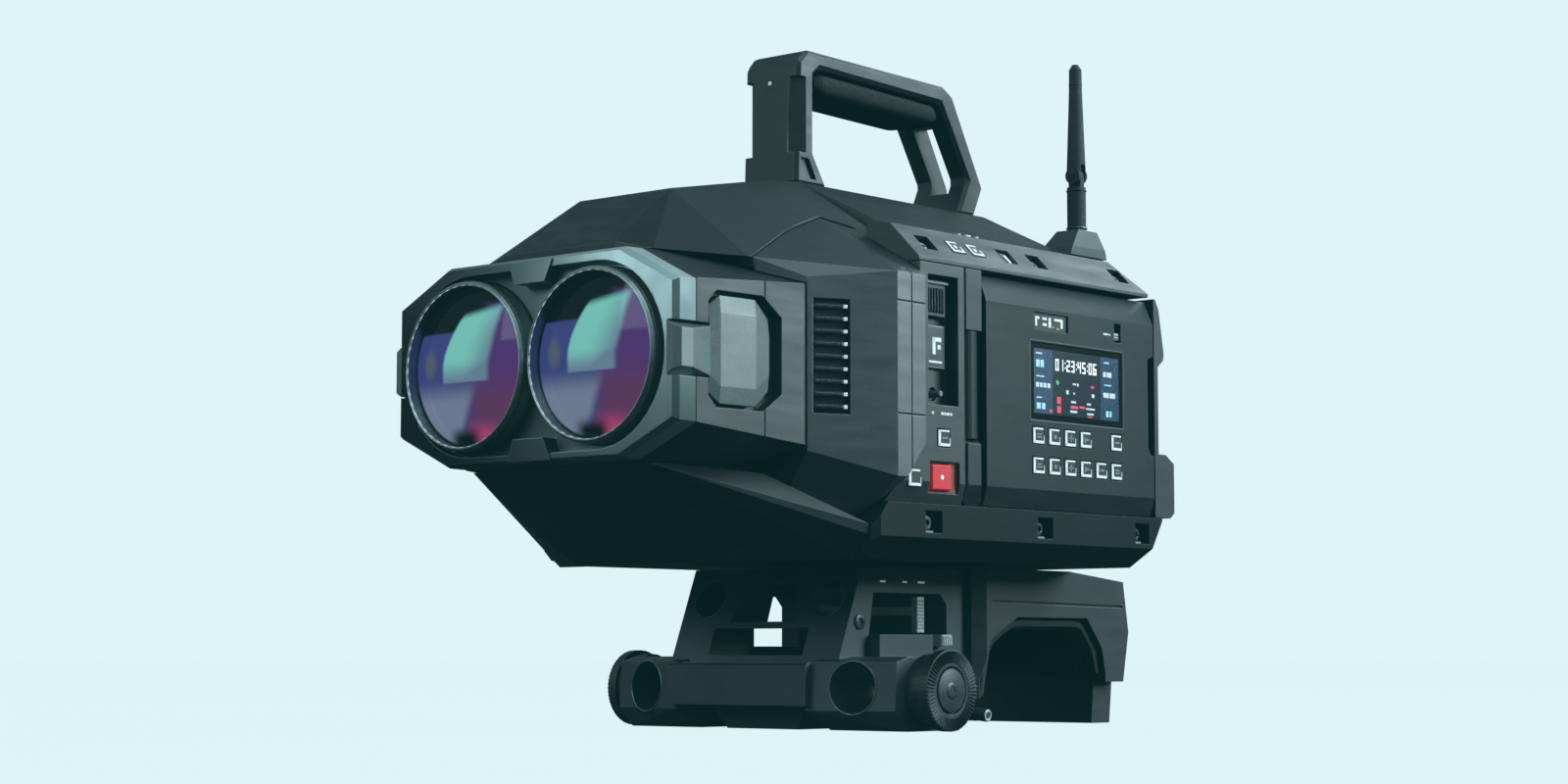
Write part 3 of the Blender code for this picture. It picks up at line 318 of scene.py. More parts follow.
def glass_with_painted_reflections(name, centre, radius):
    """A dark dome painted with coating tints, reflections and the barrel wall's shadow, glowing by
    emission: u across, v up, both -1 to 1.
    """
    g = Graph(name)
    split = g.node("ShaderNodeSeparateXYZ")
    g.link(g.coords((1.0, 1.0, 1.0), (-centre.x, -centre.y, -centre.z)), split.inputs[0])
    across = g.math("DIVIDE", split.outputs[0], radius)
    v = g.math("DIVIDE", split.outputs[2], radius)
    drift = g.mul(g.sub(g.noise(35.0, 2.0), 0.5), 0.10)
    u = g.add(across, drift)
    lens_rim = g.math("POWER", g.add(g.mul(u, u), g.mul(v, v)), 0.5)

    black = (0.002, 0.003, 0.004)
    indigo = (0.045, 0.055, 0.22)
    violet = (0.085, 0.03, 0.17)
    plum = (0.125, 0.035, 0.115)
    pink = (0.48, 0.05, 0.18)
    teal = (0.20, 0.60, 0.53)
    slate = (0.15, 0.24, 0.33)
    lavender = (0.20, 0.24, 0.34)
    amber = (0.10, 0.12, 0.13)

    # coating tints mixed with painted reflections
    tone = g.mix(g.ramp(u, -0.2, 0.55), indigo, violet)
    lower = g.ramp(v, 0.05, -0.55)
    tone = g.mix(g.mul(lower, g.ramp(u, -0.1, 0.3)), tone, plum)
    hot = g.mul(g.ramp(v, -0.62, -0.95), g.ramp(g.math("ABSOLUTE", g.sub(u, 0.27)), 0.42, 0.05))
    tone = g.mix(hot, tone, pink)
    glow_u = g.math("POWER", g.math("ABSOLUTE", g.add(u, 0.68)), 2.0)
    glow_v = g.math("POWER", g.math("ABSOLUTE", g.sub(v, 0.06)), 2.0)
    glow = g.ramp(g.add(g.mul(glow_u, 2.2), glow_v), 0.06, 0.0)
    tone = g.mix(g.mul(glow, 0.8), tone, amber)
    band_right = g.add(g.mul(v, 0.45), 0.33)
    band = g.mul(g.ramp(v, -0.12, -0.5), g.ramp(g.sub(band_right, u), -0.03, 0.16))
    tone = g.mix(g.mul(band, 0.92), tone, lavender)
    left_edge = g.sub(g.mul(g.math("POWER", g.math("MAXIMUM", v, 0.0), 1.6), 0.72), 0.46)
    right_edge = g.add(g.mul(g.math("MAXIMUM", v, 0.0), 0.3), 0.42)
    reflection_mask = g.mul(g.ramp(g.sub(u, left_edge), 0.0, 0.07), g.ramp(g.sub(right_edge, u), -0.02, 0.1))
    top_edge = g.add(g.mul(u, 0.16), 0.7)
    reflection_mask = g.mul(reflection_mask, g.mul(g.ramp(v, -0.21, -0.18), g.ramp(g.sub(top_edge, v), 0.0, 0.12)))
    fade = g.add(g.ramp(g.sub(u, left_edge), 0.35, 0.95), g.ramp(v, 0.12, -0.2))
    # a teal quadrilateral: a painted reflection
    painted_reflection = g.mix(g.math("MINIMUM", fade, 1.0), teal, slate)
    # painted shadow of the barrel's inner wall, at the top and left
    wall_shadow_left = g.mul(g.ramp(v, 0.42, 0.47), g.ramp(u, 0.55, 0.2))
    wall_shadow = g.math("MAXIMUM", wall_shadow_left, g.ramp(v, 0.72, 0.82))
    tone = g.mix(wall_shadow, tone, black)
    tone = g.mix(reflection_mask, tone, painted_reflection)
    corner = g.mul(g.ramp(v, -0.70, -0.90), g.ramp(g.math("ABSOLUTE", g.add(u, 0.06)), 0.36, 0.10))
    tone = g.mix(corner, tone, black)
    tone = g.mix(g.ramp(lens_rim, 0.965, 1.0), tone, black)
    dust = g.noise(1400.0, 2.0)
    # emission makes the painted reflections glow
    return g.set(
        Base_Color=g.mix(0.75, tone, black),
        Roughness=g.ramp(dust, 0.3, 0.9, 0.04, 0.10),
        Emission_Color=tone,
        Emission_Strength=0.72,
        Coat_Weight=0.0,
        IOR=1.25,
    )


BEZEL_MIDDLE_Z = 115.9

SHELL = painted("slate_paint", (0.0125, 0.020, 0.0215), (0.0165, 0.0265, 0.028), (0.14, 0.19, 0.20))
# a lit copy of the slate paint, paler and shinier, as painted light on the front cowl
SHELL_COWL_LIT = painted(
    "slate_paint_cowl_lit", (0.018, 0.028, 0.030), (0.024, 0.036, 0.039), (0.12, 0.17, 0.18), shine=0.95
)
# a shaded copy of the slate paint, darker and duller, as painted shade on the bottom tray
SHELL_LOW_SHADED = painted(
    "slate_paint_low_shaded", (0.006, 0.010, 0.011), (0.008, 0.013, 0.014), (0.05, 0.08, 0.085), shine=0.12
)
SHELL_MONITOR = painted(
    "slate_paint_monitor", (0.010, 0.016, 0.017), (0.013, 0.021, 0.022), (0.15, 0.20, 0.21),
    shine=0.24,
)
BEZEL = crowned_paint("bezel_satin_painted_light", 0.070, 0.037, at(0, 0, BEZEL_MIDDLE_Z).z)
BARREL = painted(
    "barrel_metal", (0.30, 0.37, 0.38), (0.38, 0.46, 0.47), (0.6, 0.7, 0.7),
    rough=(0.3, 0.36), metal=0.85, grain=2600.0, bump=0.03,
)
# paler slate paint, brightened further as painted light on the base and antenna base
BASE_SLATE_LIT = painted(
    "base_slate_lit", (0.034, 0.050, 0.053), (0.046, 0.066, 0.070), (0.15, 0.20, 0.21),
    rough=(0.4, 0.5), metal=0.1, grain=2000.0, bump=0.15,
)
ANODISED = painted(
    "black_anodised_metal", (0.010, 0.015, 0.017), (0.014, 0.021, 0.023), (0.10, 0.13, 0.14),
    rough=(0.28, 0.42), metal=0.35, grain=2600.0, bump=0.12,
)
CLIP = painted(
    "grey_clip_plastic", (0.12, 0.15, 0.155), (0.16, 0.195, 0.20), (0.30, 0.36, 0.37),
    rough=(0.3, 0.4),
)
GRIP_RUBBER = rubber("grip_rubber", (0.004, 0.007, 0.008), (0.008, 0.013, 0.014), shine=0.2)
PAD_RUBBER = rubber("pad_rubber", (0.006, 0.010, 0.011), (0.013, 0.019, 0.020))
WHIP_RUBBER = rubber("whip_rubber", (0.016, 0.024, 0.026), (0.024, 0.034, 0.036))
KEY = plain("key_black", (0.0045, 0.006, 0.007), 0.5)
# white print that also glows a little, as painted light
MARK = plain("mark_white_glowing", (0.72, 0.80, 0.80), 0.5, emit=(0.7, 0.8, 0.8), strength=0.25)
DIM_MARK = plain("mark_dim", (0.24, 0.29, 0.30), 0.5)
LEVER = plain("lever_white", (0.50, 0.58, 0.57), 0.35)
STEEL = plain("screw_steel", (0.10, 0.13, 0.14), 0.28, 0.9)
# polished metal that glows, as a painted highlight on the lens rims and vent tips
GLOWING_RIM = plain(
    "polished_rim_glow", (0.62, 0.70, 0.70), 0.2, 0.9, emit=(0.5, 0.62, 0.62), strength=0.75, speck=200.0
)
DARK = plain("recess_dark", (0.003, 0.0045, 0.005), 0.6)
# red paint that glows a little, as painted light
RED = plain("record_red", (0.62, 0.006, 0.02), 0.55, emit=(1.0, 0.01, 0.04), strength=0.16)
# painted red glow for the record key's pocket floor
RED_GLOW = plain("record_pocket_glow", (0.16, 0.035, 0.035), 0.5, emit=(0.5, 0.03, 0.03), strength=0.06)
BOARD = plain("board_green", (0.01, 0.09, 0.04), 0.45)
ALLOY = plain("bare_alloy", (0.55, 0.57, 0.57), 0.35, 1.0)
SCREEN_BLACK = plain("screen_black", (0.003, 0.004, 0.005), 0.12)
BLUE = plain("screen_blue", (0.008, 0.025, 0.06), 0.25, emit=(0.004, 0.024, 0.062), strength=0.9)
SCREEN_WHITE = plain("screen_white", (0.7, 0.75, 0.78), 0.4, emit=(0.85, 0.9, 0.92), strength=0.8)
SCREEN_GREEN = plain("screen_green", (0.02, 0.25, 0.09), 0.4, emit=(0.04, 0.45, 0.2), strength=0.7)
SCREEN_RED = plain("screen_red", (0.5, 0.02, 0.06), 0.4, emit=(0.8, 0.03, 0.10), strength=0.6)
SCREEN_CYAN = plain("screen_cyan", (0.25, 0.5, 0.7), 0.4, emit=(0.3, 0.6, 0.85), strength=0.6)
NAVY_LIT = plain(
    "screen_navy_lit", (0.004, 0.008, 0.014), 0.2, emit=(0.005, 0.013, 0.022), strength=0.9
)
SCREEN_WHITE_DIM = plain(
    "screen_white_dim", (0.4, 0.45, 0.5), 0.4, emit=(0.42, 0.5, 0.56), strength=0.7
)
STEEL_DARK = plain("steel_dark", (0.045, 0.06, 0.063), 0.38, 0.6)
RIM_DIM = plain("rim_dim", (0.16, 0.20, 0.205), 0.3, 0.8)
AMBER = plain("mark_amber", (0.45, 0.27, 0.03), 0.5)
BRASS = plain("contact_brass", (0.55, 0.38, 0.12), 0.3, 0.9)
GRILLE_BAR = plain("grille_metal", (0.016, 0.022, 0.024), 0.35, 0.5)


# ---- mesh helpers

def box(x, y, z, soft=0.0):
    """A block between two lens-frame values on each axis, with its edges cut back by soft."""
    bm = bmesh.new()
    bmesh.ops.create_cube(bm, size=1.0)
    low = at(min(x), min(y), min(z))
    high = at(max(x), max(y), max(z))
    bmesh.ops.scale(bm, verts=bm.verts, vec=high - low)
    bmesh.ops.translate(bm, verts=bm.verts, vec=(low + high) / 2)
    return softened(bm, soft)


def softened(bm, soft):
    """The mesh with every edge cut back by soft."""
    if soft:
        bmesh.ops.bevel(
            bm, geom=list(bm.edges), offset=soft * MM, segments=1, affect="EDGES", profile=0.5
        )
    return bm


def turn_parts(count):
    """The angles that divide a turn into equal parts."""
    return [2 * pi * i / count for i in range(count)]


def skin(bm, rows):
    """Quads between neighbouring rows of vertices. Each row is a closed loop."""
    for first, second in zip(rows, rows[1:]):
        for painted_reflection in zip(first, first[1:] + first[:1], second[1:] + second[:1], second):
            bm.faces.new(painted_reflection)


def rod(start, end, radius, sides=32, soft=0.0):
    """A cylinder between two lens-frame points, its rims rounded by soft."""
    start, end = at(*start), at(*end)
    along = end - start
    width = radius * MM
    bm = bmesh.new()
    bmesh.ops.create_cone(
        bm, cap_ends=True, segments=sides, radius1=width, radius2=width, depth=along.length
    )
    if soft:
        rims = [e for e in bm.edges if any(len(f.verts) > 4 for f in e.link_faces)]
        bmesh.ops.bevel(bm, geom=rims, offset=soft * MM, segments=2, affect="EDGES", profile=0.5)
    turn = Vector((0, 0, 1)).rotation_difference(along).to_matrix()
    bmesh.ops.rotate(bm, verts=bm.verts, matrix=turn)
    bmesh.ops.translate(bm, verts=bm.verts, vec=start + along / 2)
    return bm


def ring(centre, axis, radius, tube, sides=72, tube_sides=10):
    """A torus round an axis. centre is in the lens frame."""
    axis = Vector(axis).normalized()
    side = axis.orthogonal().normalized()
    up = axis.cross(side)
    bm = bmesh.new()
    rows = []
    for a in turn_parts(sides):
        out = side * cos(a) + up * sin(a)
        rows.append([
            bm.verts.new(at(*centre) + (out * (radius + tube * cos(b)) + axis * tube * sin(b)) * MM)
            for b in turn_parts(tube_sides)
        ])
    skin(bm, rows + rows[:1])
    return bm


def prism(points, normal, depth, lift=0.0, soft=0.0):
    """A flat polygon of lens-frame points, thickened inward by depth and outward by lift."""
    normal = Vector(normal).normalized()
    bm = bmesh.new()
    low = [bm.verts.new(at(*p) - normal * depth * MM) for p in points]
    high = [bm.verts.new(at(*p) + normal * lift * MM) for p in points]
    bm.faces.new(low[::-1])
    bm.faces.new(high)
    for i in range(len(points)):
        j = (i + 1) % len(points)
        bm.faces.new((low[i], low[j], high[j], high[i]))
    bmesh.ops.recalc_face_normals(bm, faces=bm.faces)
    return softened(bm, soft)


def spaced(count, low, high, step):
    """A row of equal spans."""
    return [(low + step * i, high + step * i) for i in range(count)]


def joined(*meshes):
    """One mesh that holds all of these."""
    whole = bmesh.new()
    for bm in meshes:
        temporary = bpy.data.meshes.new("join")
        bm.to_mesh(temporary)
        bm.free()
        whole.from_mesh(temporary)
        bpy.data.meshes.remove(temporary)
    return whole


def piece(name, bm, material, body=ROOT, angle=35.0):
    """A visible object that rides on a body, in the given material."""
    bmesh.ops.recalc_face_normals(bm, faces=bm.faces)
    mesh = bpy.data.meshes.new(name)
    bm.to_mesh(mesh)
    bm.free()
    obj = placed(name, mesh)
    mesh.materials.append(material)
    mesh.shade_smooth()
    mesh.set_sharp_from_angle(angle=radians(angle))
    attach(obj, body)
    return obj


SLOPE_X, SLOPE_Z = 77.8, 164.5


def turned_to_slope(bm, side, y):
    """Moves a mesh made about the lens frame's origin onto the top rail's 45 degree slope."""
    bmesh.ops.translate(bm, verts=bm.verts, vec=-at(0, 0, 0))
    bmesh.ops.rotate(bm, verts=bm.verts, matrix=Matrix.Rotation(-side * radians(45), 3, "Y"))
    bmesh.ops.translate(bm, verts=bm.verts, vec=at(side * SLOPE_X, y, SLOPE_Z))
    return bm


# ---- finishes of the frame's own nodes

def weld(obj):
    obj.modifiers.new("Weld", "WELD").merge_threshold = 0.01 * MM


def dress(nodes, material, round_edge=0.0):
    """Gives nodes a finish. Their split corners are welded so that edges can be rounded."""
    for name in nodes:
        obj = NODES[name]
        obj.data.materials.clear()
        obj.data.materials.append(material)
        if round_edge:
            weld(obj)
            flat = obj.modifiers.new("Flat", "DECIMATE")
            flat.decimate_type = "DISSOLVE"
            flat.angle_limit = radians(0.6)
            bevel = obj.modifiers.new("Edges", "BEVEL")
            bevel.width = round_edge * MM
            bevel.segments = 2
            bevel.limit_method = "ANGLE"
            bevel.angle_limit = radians(22)
            bevel.use_clamp_overlap = True


BLOCK_FACES = ((0, 1, 3, 2), (4, 6, 7, 5), (0, 4, 5, 1), (2, 3, 7, 6), (0, 2, 6, 4), (1, 5, 7, 3))


def groove(node, lines, width=0.5, depth=0.5):
    """Cuts fine seams along lines of (start, end, outward normal) into a node's surface."""
    cutters = []
    for start, end, normal in lines:
        start, end = at(*start), at(*end)
        normal = Vector(normal).normalized()
        along = (end - start).normalized()
        across = normal.cross(along).normalized()
        bm = bmesh.new()
        corners = []
        for point, sign in ((start, -1), (end, 1)):
            for a in (-1, 1):
                for reach in (-depth, 1.5):
                    offset = along * sign * 0.25 + across * a * width / 2 + normal * reach
                    corners.append(bm.verts.new(point + offset * MM))
        for face in BLOCK_FACES:
            bm.faces.new([corners[i] for i in face])
        bmesh.ops.recalc_face_normals(bm, faces=bm.faces)
        cutters.append(bm)
    mesh = bpy.data.meshes.new(node + "_seams")
    whole = joined(*cutters)
    whole.to_mesh(mesh)
    whole.free()
    helper = placed(node + "_seams", mesh)
    helper.hide_render = True
    helper.hide_viewport = True
    helper.parent = NODES[node].parent
    mesh.materials.append(DARK)
    obj = NODES[node]
    weld(obj)
    boolean = obj.modifiers.new("Seams", "BOOLEAN")
    boolean.operation = "DIFFERENCE"
    boolean.object = helper
    boolean.use_self = True
    boolean.material_mode = "TRANSFER"


def seams_round(node, plane_point, plane_normal, keep):
    """The lines in which a plane crosses a node's outer faces, as groove() takes them."""
    bm = bmesh.new()
    bm.from_mesh(NODES[node].data)
    bmesh.ops.remove_doubles(bm, verts=bm.verts, dist=1e-6)
    cut = bmesh.ops.bisect_plane(
        bm, geom=bm.verts[:] + bm.edges[:] + bm.faces[:], dist=1e-7,
        plane_co=at(*plane_point), plane_no=Vector(plane_normal),
    )
    zero = at(0, 0, 0)
    lines = []
    for edge in (e for e in cut["geom_cut"] if isinstance(e, bmesh.types.BMEdge)):
        if not edge.link_faces or edge.calc_length() < 1e-4:
            continue
        normal = edge.link_faces[0].normal
        if abs(normal.dot(Vector(plane_normal))) > 0.8:
            continue
        a, b = [(v.co - zero) / MM for v in edge.verts]
        if keep((a + b) / 2, normal):
            lines.append((tuple(a), tuple(b), tuple(normal)))
    bm.free()
    return lines


BODY_AXIS_Z = 115.0


def outward(point, normal):
    """True on a face that looks away from the body's middle line."""
    return normal.x * point.x + normal.z * (point.z - BODY_AXIS_Z) > 0.0


dress(("monitor_shell",), SHELL_MONITOR, 0.7)
for material, nodes in (
    (SHELL, "hood_cover top_cover nose_tray barrel_housing control_panel handle_frame right_cover"),
    (SHELL, "top_rail_left top_rail_right shoulder_shell rear_panel rosette_left rosette_right"),
    (SHELL_COWL_LIT, "front_cowl"),
    (SHELL_LOW_SHADED, "bottom_tray"),
    (BEZEL, "front_bezel"),
    (BARREL, "lens_barrel_left lens_barrel_right"),
    (BASE_SLATE_LIT, "base_body rod_clamp_lever antenna_base"),
    (ANODISED, "chassis media_module battery_plate hinge_post"),
    (GRILLE_BAR, "vent_grille_left vent_grille_right"),
    (CLIP, "clip_cover_left clip_cover_right power_toggle"),
    (WHIP_RUBBER, "antenna_whip antenna_knuckle"),
    (KEY, "cooling_fan menu_button top_button_1 top_button_2"),
    (RED, "record_button battery_release"),
    (LEVER, "release_lever"),
    (BOARD, "main_board sensor_board"),
    (ALLOY, "heat_sink"),
    (SCREEN_BLACK, "status_screen touch_screen"),
):
    dress(nodes.split(), material)
dress([f"status_button_{number:02d}" for number in range(1, 12)], KEY)


# ---- seams

def on_cowl_side(point, normal):
    """True on the flat side face of the cowl, behind its diagonal face."""
    return abs(point.x) > 80 and point.y > 101.6 and normal.x * point.x > 0


def beyond(reach):
    """A test for outward faces further than reach from the middle plane."""
    return lambda point, normal: outward(point, normal) and abs(point.x) > reach


groove("barrel_housing", seams_round("barrel_housing", (0, 48, 0), (0, 1, 0), beyond(35)))
cowl_seams = seams_round("front_cowl", (0, 109.6, 0), (0, 1, 0), beyond(60))
for height in (139.5, 98.6):
    cowl_seams += seams_round("front_cowl", (0, 0, height), (0, 0, 1), on_cowl_side)
groove("front_cowl", cowl_seams)

# ---- stage, light and camera

CAMERA_AT = Vector((0.7230, -0.8448, 0.0284))
CAMERA_AZIMUTH = radians(40.95)
CAMERA_PITCH = radians(5.27)
LENS = 65.25
PALE = (0.738, 0.904, 0.922)
COOL = (0.76, 0.97, 1.0)
SHADOW_TINT = (0.0020, 0.0135, 0.0138)
FLOOR_GAP = 0.0002


def make_camera():
    data = bpy.data.cameras.new("camera")
    data.lens = LENS
    data.sensor_width = 36.0
    data.clip_start = 0.01
    obj = placed("camera", data)
    look = Vector((
        -sin(CAMERA_AZIMUTH) * cos(CAMERA_PITCH),
        cos(CAMERA_AZIMUTH) * cos(CAMERA_PITCH),
        sin(CAMERA_PITCH),
    ))
    right = Vector((cos(CAMERA_AZIMUTH), sin(CAMERA_AZIMUTH), 0.0))
    up = right.cross(look)
    turn = Matrix((right, up, -look)).transposed().to_4x4()
    obj.matrix_world = Matrix.Translation(CAMERA_AT) @ turn
    scene.camera = obj


def area_light(name, where, target, size, energy):
    data = bpy.data.lights.new(name, "AREA")
    data.shape = "RECTANGLE"
    data.size, data.size_y = size
    data.energy = energy
    data.color = COOL
    obj = placed(name, data)
    obj.location = where
    obj.rotation_euler = (Vector(target) - Vector(where)).to_track_quat("-Z", "Y").to_euler()
    obj.visible_camera = False


def make_stage():
    """An evenly lit pale floor, a pale backdrop, and soft light that comes from above."""
    bm = bmesh.new()
    bmesh.ops.create_circle(bm, cap_ends=True, segments=96, radius=9.0)
    mesh = bpy.data.meshes.new("floor")
    bm.to_mesh(mesh)
    bm.free()
    floor = placed("floor", mesh)
    floor.location = (0, 0, LOW.z - FLOOR_GAP)
    floor.visible_diffuse = False
    floor.visible_glossy = False
    g = Graph("studio_floor")
    speck = g.noise(3.0, 2.0)
    tone = g.mix(g.ramp(speck, 0.3, 0.7), times(PALE, 0.004), times(PALE, 0.006))
    g.set(Base_Color=tone, Roughness=1.0, Specular_IOR_Level=0.0)
    mesh.materials.append(g.set(Emission_Color=PALE, Emission_Strength=0.99))

    scene.world = bpy.data.worlds.new("studio")
    g = Graph(scene.world)
    g.nodes.clear()
    split = g.node("ShaderNodeSeparateXYZ")
    g.link(g.node("ShaderNodeTexCoord").outputs["Generated"], split.inputs[0])
    height = g.ramp(split.outputs[2], -0.35, 0.9)
    lit = g.node("ShaderNodeBackground")
    g.feed(lit.inputs[0], g.mix(height, (0.012, 0.020, 0.021), (0.36, 0.50, 0.53)))
    g.feed(lit.inputs[1], 0.75)
    seen = g.node("ShaderNodeBackground")
    g.feed(seen.inputs[0], PALE)
    either = g.node("ShaderNodeMixShader")
    g.link(g.node("ShaderNodeLightPath").outputs["Is Camera Ray"], either.inputs[0])
    g.link(lit.outputs[0], either.inputs[1])
    g.link(seen.outputs[0], either.inputs[2])
    g.link(either.outputs[0], g.node("ShaderNodeOutputWorld").inputs[0])

    scene.view_settings.view_transform = "Standard"
    scene.view_settings.use_curve_mapping = True
    scene.view_settings.curve_mapping.black_level = [-value for value in SHADOW_TINT]
    scene.view_settings.curve_mapping.update()


make_camera()
make_stage()
area_light("top_softbox", (0.7, 0.1, 1.4), (0, 0, 0.12), (0.7, 0.9), 5.0)
area_light("side_softbox", (1.32, 1.02, 0.85), (0, 0, 0.12), (0.75, 1.1), 34.0)
area_light("back_softbox", (0.15, 1.2, 1.05), (0, 0, 0.15), (0.8, 0.6), 7.0)
area_light("front_softbox", (-0.4, -1.5, 0.75), (0, -0.1, 0.12), (0.9, 0.6), 7.0)

# ---- lenses

LENS_X, LENS_Z = 32.0, 115.7
GLASS_RADIUS = 28.9
GLASS_APEX = 1.6
GLASS_EDGE = 4.8
GLASS_BACK = 14.0


def glass_dome(x):
    """A smooth dome with a cylindrical edge, in the place of the faceted CAD glass."""
    sag = GLASS_EDGE - GLASS_APEX
    curve = (GLASS_RADIUS**2 + sag**2) / (2 * sag)
    rings = 20
    bm = bmesh.new()
    tip = bm.verts.new(at(x, GLASS_APEX, LENS_Z))
    rows, profile = [], []
    for i in range(1, rings + 1):
        radius = GLASS_RADIUS * i / rings
        profile.append((radius, GLASS_APEX + curve - sqrt(curve**2 - radius**2)))
    profile.append((GLASS_RADIUS, GLASS_BACK))
    for radius, back in profile:
        rows.append([
            bm.verts.new(at(x + radius * cos(a), back, LENS_Z + radius * sin(a)))
            for a in turn_parts(96)
        ])
    for a, b in zip(rows[0], rows[0][1:] + rows[0][:1]):
        bm.faces.new((tip, a, b))
    skin(bm, rows)
    bm.faces.new(rows[-1][::-1])
    return bm


for side, x in (("left", LENS_X), ("right", -LENS_X)):
    paint = glass_with_painted_reflections("lens_coating_and_reflection_" + side, at(x, 0, LENS_Z), GLASS_RADIUS * MM)
    dome = piece("glass_dome_" + side, glass_dome(x), paint, angle=50)
    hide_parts("front_glass_" + side)
    # thin rim rings that carry a painted highlight
    for name, y, radius, tube, material in (
        ("lens_rim_highlight_", 0.6, 29.75, 0.5, GLOWING_RIM), ("barrel_band_", 2.6, 30.75, 0.28, STEEL)
    ):
        piece(name + side, ring((x, y, LENS_Z), (0, 1, 0), radius, tube, 96), material)


# ---- vents

GRILLE_TURN = atan2(15.2, 32.5)
VENT_COUNT = 9
VENT_PITCH = 4.5
VENT_TOP = 136.0
TIP = (4.9, 6.3, 0.62, 0.32)
LIP = (-6.2, 4.6, 0.5, 0.16)

for side in (1, -1):
    out = Vector((side * cos(GRILLE_TURN), -sin(GRILLE_TURN), 0))
    back = Vector((side * sin(GRILLE_TURN), cos(GRILLE_TURN), 0))
    tip_glints, slots = [], []
    for i in range(VENT_COUNT):
        z = VENT_TOP - VENT_PITCH * i
        for meshes, (low, high, half, reach) in ((tip_glints, TIP), (slots, LIP)):
            corners = [
                Vector((side * 76.4, 77.9, z + sign * half)) + back * along
                for along, sign in ((low, -1), (high, -1), (high, 1), (low, 1))
            ]
            meshes.append(prism(corners, out, 0.3, reach, 0.1))
    label = "left" if side > 0 else "right"
    # glowing dots at the bars' rear tips: painted highlights
    piece("vent_tip_glints_" + label, joined(*tip_glints), GLOWING_RIM)
    piece("vent_lips_" + label, joined(*slots), STEEL)


# ---- keys and marks on the left side

FACE = 85.0
POCKET_FLOOR = (83.0, 83.35)
KEY_TOP = FACE + 0.3


def plate(y, z, x=KEY_TOP, lift=0.07, depth=0.05):
    """A thin inlay on a face that looks to the operator's left."""
    return box((x - depth, x + lift), y, z)


def plates(bars, x=KEY_TOP, lift=0.07, depth=0.05):
    """Inlays given as (low y, high y, low z, high z), in one mesh."""
    return joined(*[plate(bar[:2], bar[2:], x, lift, depth) for bar in bars])


KEY_HALF_Y, KEY_HALF_Z = 3.55, 3.0
GLYPHS = (
    ((-1.5, 1.5, -0.25, 0.35),),
    ((-1.5, 1.5, 0.3, 0.8), (-1.5, 1.5, -0.8, -0.3)),
    ((-0.7, 0.7, -0.7, 0.7),),
    ((-1.6, 1.6, -0.25, 0.25), (-0.3, 0.3, -1.3, 1.3)),
    ((-1.4, -0.6, -1.0, 1.0), (-0.2, 1.4, -0.3, 0.4)),
)


def key_outline(y, z):
    """A pale line round a key's face, thicker in front and below."""
    front, back, low, high = y - KEY_HALF_Y, y + KEY_HALF_Y, z - KEY_HALF_Z, z + KEY_HALF_Z
    return plates((
        (front, front + 1.35, low, high),
        (front, back, low, low + 1.05),
        (front, back - 0.6, high - 0.7, high),
        (back - 0.35, back, low, z + 0.2),
    ))


def glyph(kind, y, z):
    return plates([(y + a, y + b, z + c, z + d) for a, b, c, d in GLYPHS[kind % len(GLYPHS)]])


for number in range(1, 12):
    node = f"status_button_{number:02d}"
    spot = node_middle(node)
    piece(node + "_outline", key_outline(spot.y, spot.z), MARK, node)
    piece(node + "_glyph", glyph(number, spot.y + 0.35, spot.z), DIM_MARK, node)

spot = node_middle("menu_button")
piece("menu_outline", key_outline(spot.y, spot.z), MARK, "menu_button")
piece("menu_glyph", glyph(0, spot.y + 0.3, spot.z), DIM_MARK, "menu_button")

spot = node_middle("record_button")
dot = rod((KEY_TOP - 0.1, spot.y, spot.z), (KEY_TOP + 0.1, spot.y, spot.z), 0.9, sides=24)
piece("record_dot", dot, MARK, "record_button")
pocket = joined(
    box(POCKET_FLOOR, (spot.y + 6.3, spot.y + 10.9), (spot.z - 5.7, spot.z + 5.7)),
    box(POCKET_FLOOR, (spot.y - 6.7, spot.y + 6.3), (spot.z - 5.7, spot.z - 5.1)),
)
piece("record_pocket_floor", pocket, RED_GLOW)

piece("lower_key_cap", box((84.2, KEY_TOP), (110.8, 118.2), (73.0, 79.2), 0.3), KEY)
piece("lower_key_outline", key_outline(114.5, 76.1), MARK)

ticks = ((125.0, 1.0), (130.4, 1.5), (132.3, 1.1), (133.8, 1.6), (135.8, 1.2))
piece("panel_ticks", plates([(y, y + width, 99.9, 100.9) for y, width in ticks], FACE), MARK)

# Recess: a ribbed selector over a small framed plate
ribs = [box((79.1, 81.6), (124.2, 138.0), (136.4, 150.4), 0.4)]
ribs += [box((81.4, 82.3), y, (138.0, 147.2), 0.25) for y in spaced(7, 125.2, 126.1, 1.7)]
piece("selector_wheel", joined(*ribs), ANODISED)
piece("selector_cap", box((79.1, 82.6), (123.8, 138.4), (148.6, 149.6), 0.2), DIM_MARK)
piece("label_plate", box((79.1, 81.0), (124.2, 138.0), (117.4, 133.6), 0.35), CLIP)
piece("label_plate_face", box((80.9, 81.15), (125.0, 137.2), (118.2, 132.8), 0.08), SHELL)
icon = (
    (130.4, 132.2, 122.6, 129.0), (130.4, 135.6, 127.4, 129.0),
    (133.4, 135.2, 124.6, 126.2), (128.2, 136.0, 119.4, 120.2),
)
piece("label_icon", plates(icon, 81.15), MARK)


# ---- monitor

SCREEN_FACE = 84.7
SCREEN_Z = (104.4, 129.4)
BACKING_LIFT = 0.03


def pixels(bars, lift=0.06):
    """Lit shapes on the status display, as plates() takes them."""
    return plates(bars, SCREEN_FACE, lift, 0.03)


